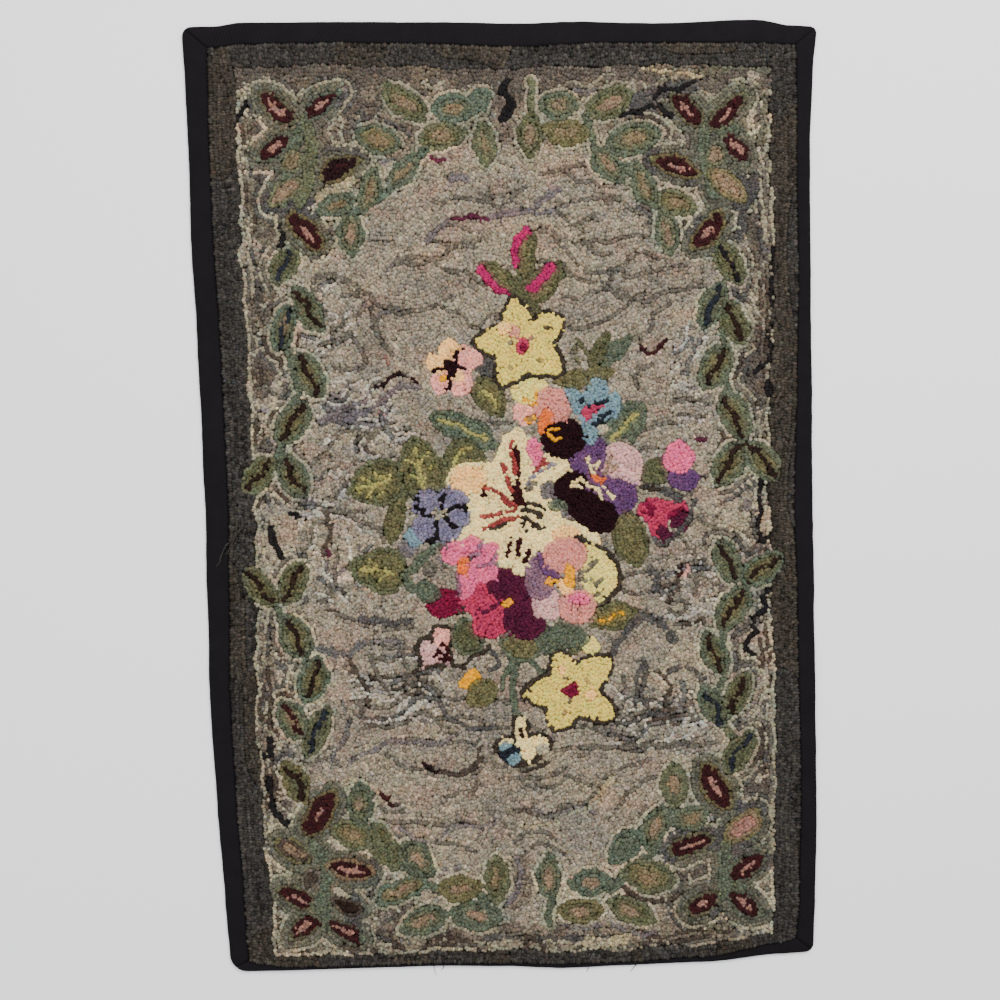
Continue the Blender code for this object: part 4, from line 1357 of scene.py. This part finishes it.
# Rows that follow the sprays, the leaves and the border, in short lengths of different wools. Each is
# where it starts and ends in mm, its wool, and between which two values of the changing lengths, which
# run from -1 to 1, it is hooked.
Row = namedtuple("Row", "start end wool low high")
SPRAY_ROWS = (
    Row(0.0, 7.2, "sage_grey", -1.0, 0.5),
    Row(0.0, 7.2, "slate", -1.0, 1.0),
    Row(0.0, 10.9, "cream_line", 0.0, 1.0),
    Row(0.0, 10.9, "pale_sage", -0.45, 1.0),
)
LEAF_RIMS = (
    Row(0.0, 3.9, "cream_line", 0.05, 1.0),
    Row(0.0, 3.9, "pale_sage", -0.6, 1.0),
)
LEAF_ROWS = (
    Row(3.9, 7.6, "bark", 0.4, 1.0),
    Row(3.9, 7.6, "stone", -0.1, 0.4),
    Row(3.9, 7.6, "slate", -1.0, -0.45),
    Row(7.6, 11.2, "cream_line", 0.0, 0.8),
    Row(7.6, 11.2, "stone", -1.0, -0.45),
    Row(11.2, 14.8, "slate", 0.2, 1.0),
    Row(11.2, 14.8, "cream_line", -0.7, -0.1),
)
EDGE_ROWS = (
    Row(0.0, 4.0, "cream_line", -0.35, 1.0),
    Row(0.0, 4.0, "pale_sage", -1.0, -0.35),
    Row(4.0, 7.8, "bark", 0.3, 1.0),
    Row(4.0, 7.8, "stone", -0.3, 0.3),
    Row(7.8, 11.6, "cream_line", -0.8, -0.1),
    Row(11.6, 15.2, "slate", -1.0, -0.3),
    Row(11.6, 15.2, "bark", 0.3, 1.0),
)
SPARE_TOP = 22.0  # mm under the upper border, where no row follows it
BESIDE_BORDER = 62.0  # mm from the sides, where the lengths run up and down
OUTSKIRTS = 78.0  # mm from the sides, where rows follow the leaves
ROWS_REACH = 20.0  # mm


def between(field, low, high):
    """The cells where this field lies between two values."""
    return (field > low) & (field < high)


def hook_rows(rows, distance, lengths, where):
    """Rows of the ground's wools at their distances, in short lengths."""
    for row in rows:
        hooked_here = between(distance, row.start, row.end) & between(lengths, row.low, row.high)
        draw(WHOLE, hooked_here & where, GROUND, row.wool)


corner = zone_share(CORNERS)
on_off = rug_noise(24.0, 26.0, 41)
from_sprays = distance_inwards(owner == SPRAYS, ROWS_REACH)
from_leaves = distance_inwards((owner == GARLAND) | (owner == SPRAYS), ROWS_REACH)
below_top = inside["top"] >= BORDER_WIDTHS["top"] + SPARE_TOP
from_side = np.minimum(inside["left"], inside["right"])
edge_lengths = np.where(from_side < BESIDE_BORDER, rug_noise(12.0, 30.0, 81), rug_noise(30.0, 12.0, 82))
from_border = inside_border + drift_up * 0.4 + rug_noise(20.0, 26.0, 83) * 1.6
hook_rows(SPRAY_ROWS, from_sprays, on_off, corner > 0.0)
hook_rows(LEAF_RIMS, from_leaves, on_off, hookable)
hook_rows(EDGE_ROWS, from_border, edge_lengths, below_top)
hook_rows(LEAF_ROWS, from_leaves, on_off, (from_side < OUTSKIRTS) | (corner > 0.3))

# The wandering rows are the level lines of a rolling height. Its folds are tight where the sheet's zones
# say so, and long and level elsewhere.
SWIRLS = (
    Zone(362, 420, 46, 38),
    Zone(335, 540, 32, 60),
    Zone(400, 690, 44, 32),
    Zone(690, 590, 26, 30),
    Zone(650, 712, 60, 34),
    Zone(330, 340, 24, 50),
    Zone(690, 380, 18, 50),
)
SHADOWED = (
    Zone(570, 78, 120, 20),
    Zone(350, 88, 70, 22),
    Zone(330, 140, 26, 24),
    Zone(690, 92, 56, 24),
    Zone(655, 118, 46, 20),
    Zone(765, 215, 16, 60),
    Zone(757, 380, 16, 50),
    Zone(760, 800, 22, 50),
    Zone(372, 905, 34, 26),
    Zone(480, 74, 120, 12),
    Zone(705, 880, 30, 34),
    Zone(262, 330, 14, 60),
    Zone(740, 80, 56, 20),
    Zone(270, 76, 60, 13),
)
DUSKY = (
    Zone(570, 116, 120, 26),
    Zone(370, 118, 60, 40),
    Zone(650, 150, 50, 30),
    Zone(430, 936, 140, 15),
    Zone(620, 936, 120, 15),
    Zone(516, 880, 12, 24),
    Zone(768, 330, 14, 90),
    Zone(262, 700, 12, 120),
)
swirl, shadowed, dusky = zone_share(SWIRLS), zone_share(SHADOWED), zone_share(DUSKY)
rolling = rug_noise(90.0, 60.0, 51) * 40.0
rolling += rug_noise(36.0, 26.0, 52) * 9.0
rolling += np.abs(rug_noise(27.0, 24.0, 55)) * 13.0
rolling += swirl * rug_noise(40.0, 34.0, 54) * 32.0
rolling += swirl * rug_noise(22.0, 19.0, 56) * 11.0
height = cells_y + rolling + drift_up * 0.7
slope = np.hypot(*np.gradient(cells_y + rolling, CELL))
FOLD_PITCH = 33.3  # mm between level lines of one kind
LEVEL_HALF_WIDTH = 1.9  # mm
LEAST_SLOPE = 0.25


def level_lines(offset):
    """The cells on the level lines of the rolling height, raised by this offset in mm."""
    level = (height + offset) / FOLD_PITCH
    off = np.abs(level - np.round(level)) * FOLD_PITCH / np.maximum(slope, LEAST_SLOPE)
    return off < LEVEL_HALF_WIDTH


# Each kind of wandering row is hooked where the swirl, the breaks and the dyes allow it.
breaks, dyes = rug_noise(40.0, 30.0, 61), rug_noise(55.0, 40.0, 62)
ANYWHERE = (-9.0, 9.0)
Wandering = namedtuple("Wandering", "offset wool swirl_over breaks dyes")
WANDERING_ROWS = (
    Wandering(0.0, "lavender_grey", -1.0, (-0.05, 9.0), (0.45, 9.0)),
    Wandering(0.0, "bark", 0.3, (-0.05, 9.0), (-9.0, -0.45)),
    Wandering(0.0, "stone", -1.0, (-0.05, 9.0), ANYWHERE),
    Wandering(11.1, "slate", 0.3, (0.45, 9.0), ANYWHERE),
    Wandering(11.1, "blue_grey", 0.3, (0.05, 9.0), ANYWHERE),
    Wandering(22.2, "stone", 0.4, (-9.0, -0.1), ANYWHERE),
    Wandering(3.7, "pale_grey", 0.3, (-0.4, 9.0), ANYWHERE),
    Wandering(14.8, "pale_grey", 0.3, ANYWHERE, (-9.0, 0.3)),
    Wandering(25.9, "pale_grey", 0.4, ANYWHERE, (-0.2, 9.0)),
)
for row in WANDERING_ROWS:
    hooked_here = (swirl > row.swirl_over) & between(breaks, *row.breaks) & between(dyes, *row.dyes)
    draw(WHOLE, level_lines(row.offset) & hooked_here, GROUND, row.wool)
draw(WHOLE, hookable, GROUND, "oatmeal")

# The oatmeal wools differ: paler and pinker lengths in broad drifts, and slate where the ground is dark.
# A later tone takes the place of an earlier one.
drifts = rug_noise(62.0, 30.0, 72) + rug_noise(17.0, 12.0, 73) * 0.4
clumps = rug_noise(26.0, 14.0, 74) + drift_right * 0.15
patchwork = rug_noise(16.0, 10.0, 71) + drift_right * 0.2
plain = wool_at == WOOL_NAMES.index("oatmeal")
pale = (wool_at == WOOL_NAMES.index("cream_line")) | (wool_at == WOOL_NAMES.index("pale_sage"))
tone = np.ones((GRID_DOWN, GRID_ACROSS, 3), np.float32)
tone[drifts > 0.42] = (1.06, 1.05, 1.02)
tone[drifts < -0.42] = (0.93, 0.925, 0.93)
tone[clumps > 0.55] *= (1.03, 0.975, 0.975)
tone[clumps < -0.6] *= (0.93, 0.95, 0.98)
for zone, zone_over, noise, low, high, shift in (
    (swirl, 0.3, patchwork, 0.3, 9.0, (1.08, 1.07, 1.06)),
    (swirl, 0.3, patchwork, -9.0, -0.4, (0.88, 0.90, 0.92)),
    (dusky, 0.3, clumps, -0.6, 9.0, (0.83, 0.81, 0.79)),
    (dusky, 0.3, patchwork, 0.4, 9.0, (0.70, 0.67, 0.68)),
    (corner, 0.35, patchwork, -0.6, 9.0, (0.75, 0.76, 0.73)),
    (corner, 0.35, patchwork, 0.3, 9.0, (0.62, 0.61, 0.61)),
    (shadowed, 0.3, patchwork, -0.75, 9.0, (0.58, 0.57, 0.59)),
    (shadowed, 0.3, patchwork, 0.45, 9.0, (0.68, 0.65, 0.63)),
):
    tone[plain & (zone > zone_over) & between(noise, low, high)] = shift
tone[pale & (np.maximum(shadowed, dusky) > 0.3)] = (0.88, 0.88, 0.88)

ground_wool = wool_material("ground wool", contrast=1.2, lint=0.03, bump=0.7)
dye(GROUND, tone)
GROUND_PIECES = ("top", "upper", "middle", "lower", "foot")
ground_loops = sorted(hooked_loops(GROUND, 25), key=lambda loop: -loop.y)
share = math.ceil(len(ground_loops) / len(GROUND_PIECES))
grounds = [
    tufted_piece("ground_loops_" + name, ground_loops[i * share:(i + 1) * share], 40 + i, ground_wool)
    for i, name in enumerate(GROUND_PIECES)
]

# The foundation
# Plain-woven rug cloth that every loop stands in. Its back shows each strip's flat stitches, and its
# margin runs unhooked into the fold of the tape.

CLOTH_THICK = 1.1  # mm
CLOTH_HEIGHT = 0.85  # mm, the middle of the cloth under the loops
MARGIN_HEIGHT = 1.8  # mm, the middle of the cloth inside the tape's fold
MARGIN_SHORT_OF_FOLD = 1.6  # mm
RAMP_START, RAMP_LENGTH = 3.0, 6.0  # mm inwards from the tape, where the cloth comes down to its height
CLOTH_ACROSS, CLOTH_DOWN = 110, 160  # faces
CLOTH_GUESS = (600.0, 920.0)  # mm, from which the cloth is fitted between the folds
FITTINGS = 4
BARE_CLOTH = (150.0, 132.0, 100.0)
SHADE_UNDER_LOOPS, SHADE_UNDER_TAPE = 0.6, 0.12  # painted shade: how much of the light reaches the cloth's upper face

u, v = np.meshgrid(np.linspace(0.0, 1.0, CLOTH_ACROSS + 1), np.linspace(0.0, 1.0, CLOTH_DOWN + 1))
cloth_x, cloth_y = (u - 0.5) * CLOTH_GUESS[0], (v - 0.5) * CLOTH_GUESS[1]
for _ in range(FITTINGS):
    left = edge_at("left", OUTER, cloth_y) + MARGIN_SHORT_OF_FOLD
    right = edge_at("right", OUTER, cloth_y) - MARGIN_SHORT_OF_FOLD
    low = edge_at("bottom", OUTER, cloth_x) + MARGIN_SHORT_OF_FOLD
    high = edge_at("top", OUTER, cloth_x) - MARGIN_SHORT_OF_FOLD
    cloth_x, cloth_y = left + u * (right - left), low + v * (high - low)
depth = np.minimum.reduce([inside_of(side, cloth_x, cloth_y) for side in SIDES])
ramp = np.clip((depth - RAMP_START) / RAMP_LENGTH, 0.0, 1.0)
middle = MARGIN_HEIGHT + (CLOTH_HEIGHT - MARGIN_HEIGHT) * ramp * ramp * (3.0 - 2.0 * ramp)
columns, rows = CLOTH_ACROSS + 1, CLOTH_DOWN + 1
count = columns * rows
number_at = np.arange(count).reshape(rows, columns)
squares = (number_at[:-1, :-1], number_at[:-1, 1:], number_at[1:, 1:], number_at[1:, :-1])
faces_up = np.stack(squares, 2).reshape(-1, 4).tolist()
rim = (number_at[0], number_at[1:, -1], number_at[-1, -2::-1], number_at[-2:0:-1, 0])
rim = np.concatenate(rim).tolist()
faces = faces_up + [[corner + count for corner in face[::-1]] for face in faces_up]
faces += [(b, a, a + count, b + count) for a, b in zip(rim, rim[1:] + rim[:1])]
top = np.stack([cloth_x, cloth_y, middle + CLOTH_THICK / 2.0], 2).reshape(-1, 3)
cloth_points = np.concatenate([top, top - (0.0, 0.0, CLOTH_THICK)]) * MM
cloth_mesh = bpy.data.meshes.new("foundation")
cloth_mesh.from_pydata(cloth_points.tolist(), [], faces)
cloth_mesh.shade_smooth()
row_at = np.clip(np.round((cloth_y - ys[0]) / CELL).astype(int), 0, GRID_DOWN - 1)
column_at = np.clip(np.round((cloth_x - xs[0]) / CELL).astype(int), 0, GRID_ACROSS - 1)
hooked = (owner[row_at, column_at] != BARE)[:, :, None]
stitched = np.where(hooked, pattern_colour[row_at, column_at], BARE_CLOTH)
cloth_colour = np.ones((2 * count, 4), np.float32)
cloth_colour[:, :3] = np.tile(linear(stitched).reshape(-1, 3), (2, 1))
# The upper face is painted shade: the wool's colour dimmed between the loops, and near black under the tape.
cloth_colour[:count, :3] *= np.where(hooked, SHADE_UNDER_LOOPS, SHADE_UNDER_TAPE).reshape(-1, 1)
give_yarn(cloth_mesh, cloth_colour)
give_flat_places(cloth_mesh, "pattern", cloth_points[:, :2] + 0.5)


def stitch_group():
    """The back of hooking: short flat stitches between the threads of plain-woven cloth."""
    group, given, put = fabric_group("hooked back", Yarn="Color", Cloth="Color")
    place = group.nodes.new("ShaderNodeTexCoord").outputs["Object"]
    stretch = node(group, "ShaderNodeVectorMath", i0=place, i1=(1.0, 0.7, 0.0))
    stretch.operation = "MULTIPLY"
    stitches = node(group, "ShaderNodeTexVoronoi", Vector=stretch.outputs[0], Scale=370.0)
    threads = node(group, "ShaderNodeTexWave", Vector=place, Scale=420.0, Distortion=1.5)
    gap = maths(group, "GREATER_THAN", stitches.outputs["Distance"], 0.62)
    bare = maths(group, "MULTIPLY", gap, 0.8)
    raised = maths(group, "SUBTRACT", 1.0, stitches.outputs["Distance"])
    woven = maths(group, "MULTIPLY", threads.outputs["Fac"], 0.25)
    group.links.new(mix(group, bare, given.outputs["Yarn"], given.outputs["Cloth"]), put.inputs["Colour"])
    group.links.new(maths(group, "ADD", raised, woven), put.inputs["Height"])
    return group


hooked_back = stitch_group()


def cloth_material(name, between_stitches):
    """Hooked rug cloth with this colour between the stitches: the bare cloth on the back, painted shade on
    the face under the loops.
    """
    return fabric(name, hooked_back, roughness=0.95, shine=0.1, bump=0.8, rise=0.001, Cloth=between_stitches)


cloth_mesh.materials.append(cloth_material("hooked back", (0.34, 0.27, 0.17, 1.0)))
# The face under the loops is near black between its stitches: painted shade, not the cloth's colour.
cloth_mesh.materials.append(cloth_material("painted shade under the loops", (0.03, 0.026, 0.021, 1.0)))
cloth_sides = np.zeros(len(faces), np.int32)
cloth_sides[:len(faces_up)] = 1  # the face under the loops, in painted shade
cloth_mesh.polygons.foreach_set("material_index", cloth_sides)
foundation = put_down("foundation", cloth_mesh)
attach(foundation, "root")
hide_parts("hooked_field")

# The binding tapes
# Black cotton twill tape, one length to a side. Each is folded over the margin, mitred at its ends and
# sewn down by hand, so it puckers a little between the stitches.

TAPE_STEP = 4.0  # mm between the cross-sections of a tape
TAPE_SECTION = (
    # share of the tape's width inwards from its fold, mm inwards, mm up
    (1.0, 0.0, 0.0), (0.5, 0.0, 0.0), (0.0, 1.8, 0.0), (0.0, 0.5, 0.5), (0.0, 0.0, 1.8), (0.0, 0.5, 3.05),
    (0.0, 1.6, 3.62), (0.3, 0.4, 3.95), (0.6, 0.1, 4.02), (0.85, 0.0, 3.92), (1.0, 0.0, 3.45),
    (1.0, 0.0, 2.66), (0.5, 0.3, 2.66), (0.0, 2.2, 2.62), (0.0, 1.5, 1.8), (0.0, 2.2, 1.0), (1.0, 0.0, 1.0),
)
Waves = namedtuple("Waves", "points pucker ripple")
HEIGHT_WAVES = Waves((7, 8, 9), 0.12, 0.1)  # the points of the section that they move, and mm
DEPTH_WAVES = (Waves((3, 4, 5), 0.25, 0.5), Waves((10, 11), 0.3, 0.0))
BACK_POINTS = 5  # the first points of the section, which lie behind the fold
STILL_ENDS = 30.0  # mm at each end over which the waves die down
STITCH_GAP = 6.5  # mm
STITCH_LONG = 2.6
STITCH_THICK = 0.55
STITCH_RINGS, STITCH_SIDES = 5, 3
FIRST_STITCH = 8.0  # mm from the ends of the tape
STITCH_TOP = 4.15  # mm above the floor


def even_points(points, count):
    """This many points at even steps along a line of points."""
    steps = np.hypot(*np.diff(points, axis=0).T)
    run = np.concatenate([[0.0], np.cumsum(steps)])
    at = np.linspace(0.0, run[-1], count)
    return np.stack([np.interp(at, run, points[:, 0]), np.interp(at, run, points[:, 1])], 1), run[-1]


def hand_stitch(edge, aim, lean):
    """The points of one stitch over the tape's inner edge. Aim is the way from the fold inwards."""
    sideways = np.array((-aim[1], aim[0]))
    points = []
    for ring in range(STITCH_RINGS):
        share = ring / (STITCH_RINGS - 1) - 0.5
        middle = edge + aim * (share * STITCH_LONG - 0.4) + sideways * (share * STITCH_LONG * lean)
        height = STITCH_TOP - 1.4 * max(share, 0.0) - 1.0 * abs(share) ** 3
        radius = STITCH_THICK * (0.5 if 0 < ring < STITCH_RINGS - 1 else 0.25)
        for angle in (90.0, 210.0, 330.0):
            offset = sideways * (math.cos(math.radians(angle)) * radius)
            points.append((*(middle + offset), height + math.sin(math.radians(angle)) * radius))
    return points


def tape_piece(side, seed, material):
    """One length of tape with the stitches that hold its upper leaf."""
    draws = np.random.default_rng(seed)
    outer, inner = edges_of[side]
    count = int(even_points(outer, 2)[1] / TAPE_STEP)
    outer, length = even_points(outer, count)
    inner, _ = even_points(inner, count)
    inwards = inner - outer
    width = np.hypot(*inwards.T)
    inwards /= width[:, None]
    at = np.linspace(0.0, length, count)
    pucker = lattice_noise(at, at * 0.0 + seed * 7.3, 9.0, 5.0, seed)
    ripple = lattice_noise(at, at * 0.0 + seed * 3.1, 55.0, 5.0, seed + 50)
    fade = np.minimum(1.0, np.minimum(at, length - at) / STILL_ENDS)
    points, flat_at = [], []
    for number, (share, extra, up) in enumerate(TAPE_SECTION):
        reach = np.minimum(width * share + extra * (1.0 - share), width)
        lifted = np.full(count, up)
        if number in HEIGHT_WAVES.points:
            lifted += (pucker * HEIGHT_WAVES.pucker + ripple * HEIGHT_WAVES.ripple) * fade
        for waves in DEPTH_WAVES:
            if number in waves.points:
                reach = reach + (ripple * waves.ripple + pucker * waves.pucker) * fade
        points.append(np.concatenate([outer + inwards * reach[:, None], lifted[:, None]], 1))
        flat_at.append(-reach if number < BACK_POINTS else reach)
    ring = len(TAPE_SECTION)
    points = np.stack(points, 1).reshape(-1, 3)
    uv = np.stack([np.tile(at[:, None], (1, ring)), np.stack(flat_at, 1)], 2).reshape(-1, 2)
    faces = tube_faces(count, ring)
    if side in ("top", "left"):
        faces = [face[::-1] for face in faces]
    tape_faces = len(faces)

    stitches = []
    for place in np.arange(FIRST_STITCH, length - FIRST_STITCH, STITCH_GAP):
        place += draws.normal(0.0, 0.5)
        edge = np.array([np.interp(place, at, inner[:, 0]), np.interp(place, at, inner[:, 1])])
        aim = np.array([np.interp(place, at, inwards[:, 0]), np.interp(place, at, inwards[:, 1])])
        start = len(points) + len(stitches)
        stitches += hand_stitch(edge, aim, draws.normal(0.35, 0.12))
        faces += [tuple(corner + start for corner in face) for face in tube_faces(STITCH_RINGS, STITCH_SIDES)]
    points = np.concatenate([points, np.array(stitches)])
    uv = np.concatenate([uv, np.zeros((len(stitches), 2))])

    name = side + "_tape"
    mesh = bpy.data.meshes.new(name)
    mesh.from_pydata((points * MM).tolist(), [], faces)
    mesh.shade_smooth()
    give_flat_places(mesh, "tape", uv * MM)
    mesh.materials.append(material)
    mesh.materials.append(thread_material)
    kinds = np.zeros(len(faces), np.int32)
    kinds[tape_faces:] = 1  # thread
    mesh.polygons.foreach_set("material_index", kinds)
    piece = put_down(name, mesh)
    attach(piece, "root")
    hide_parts("binding_" + side)
    return piece


def twill_group():
    """Cotton twill: fine slanting ribs whose crests are painted paler as a highlight, and greyed where it has
    rubbed and where lint lies.
    """
    group, given, put = fabric_group("cotton twill", Dye="Color", Worn="Color")
    coordinates = group.nodes.new("ShaderNodeTexCoord")
    place = coordinates.outputs["Object"]
    ribs = node(group, "ShaderNodeTexWave", Vector=coordinates.outputs["UV"], Scale=190.0, Distortion=1.0)
    ribs.bands_direction = "DIAGONAL"
    rubbed = node(group, "ShaderNodeTexNoise", Vector=place, Scale=45.0, Detail=6.0, Roughness=0.65)
    specks = node(group, "ShaderNodeTexNoise", Vector=place, Scale=700.0, Detail=2.0, Roughness=0.5)
    dusty = maths(group, "MULTIPLY", rubbed.outputs["Fac"], specks.outputs["Fac"])
    # Painted highlight: the crests of the ribs are paler, as if lit; the rubbed patches and specks are wear
    # and lint.
    rib_highlight_and_wear = maths(group, "MULTIPLY_ADD", ribs.outputs["Fac"], 0.25, dusty)
    group.links.new(mix(group, rib_highlight_and_wear, given.outputs["Dye"], given.outputs["Worn"]), put.inputs["Colour"])
    group.links.new(maths(group, "ADD", ribs.outputs["Fac"], specks.outputs["Fac"]), put.inputs["Height"])
    return group


twill = twill_group()


def twill_material(name, dye_colour, worn_and_lit_colour, bump):
    """Cotton in this dye, and in a second colour where it is worn and, as painted highlight, on the crests of
    its ribs.
    """
    return fabric(
        name, twill, roughness=0.9, shine=0.06, bump=bump, rise=0.0004, Dye=dye_colour, Worn=worn_and_lit_colour
    )


TAPE_BLACK, TAPE_WORN_AND_LIT = (0.004, 0.0035, 0.0045, 1.0), (0.014, 0.012, 0.0135, 1.0)
THREAD_BLACK, THREAD_WORN_AND_LIT = (0.005, 0.0045, 0.005, 1.0), (0.014, 0.013, 0.013, 1.0)
tape_material = twill_material("black twill tape", TAPE_BLACK, TAPE_WORN_AND_LIT, 0.5)
thread_material = twill_material("black sewing thread", THREAD_BLACK, THREAD_WORN_AND_LIT, 0.3)
tapes = [tape_piece(side, 60 + i, tape_material) for i, side in enumerate(SIDES)]

# The floor, the light and the camera
# A pale matte floor under broad soft light from above. The camera looks straight down at the rug.

HALF_FLOOR = 4  # m
UNDER_RUG = 0.0002  # m
floor_mesh = bpy.data.meshes.new("floor")
corners = [(x * HALF_FLOOR, y * HALF_FLOOR, 0) for x, y in ((-1, -1), (1, -1), (1, 1), (-1, 1))]
floor_mesh.from_pydata(corners, [], [(0, 1, 2, 3)])
floor = put_down("floor", floor_mesh)
floor.location.z = -UNDER_RUG
pale_floor = bpy.data.materials.new("pale floor")
pale_floor.use_nodes = True
shader = pale_floor.node_tree.nodes["Principled BSDF"]
shader.inputs["Base Color"].default_value = (0.94, 0.94, 0.95, 1.0)
shader.inputs["Roughness"].default_value = 0.9
floor_mesh.materials.append(pale_floor)


def area_light(name, place, size, power, colour):
    """A square light of this size in metres and power in watts that faces the middle of the rug."""
    light = bpy.data.lights.new(name, "AREA")
    light.size = size
    light.energy = power
    light.color = colour
    lamp = put_down(name, light)
    lamp.location = place
    aim = -lamp.location.normalized()
    lamp.rotation_euler = aim.to_track_quat("-Z", "Y").to_euler()


area_light("window light", (0.7, 1.4, 2.0), 1.5, 92.0, (1.0, 0.985, 0.96))
area_light("room light", (-1.5, -0.6, 2.2), 2.2, 40.0, (0.97, 0.98, 1.0))
world = bpy.data.worlds.new("soft room")
bpy.context.scene.world = world
world.use_nodes = True
sky_light = world.node_tree.nodes["Background"].inputs
sky_light["Color"].default_value = (0.93, 0.95, 1.0, 1.0)
sky_light["Strength"].default_value = 0.62

camera_data = bpy.data.cameras.new("camera")
camera_data.lens = 50.0
camera_data.sensor_width = 36.0
camera = put_down("camera", camera_data)
camera.location = (0.0007, -0.0045, 1.388)
bpy.context.scene.camera = camera
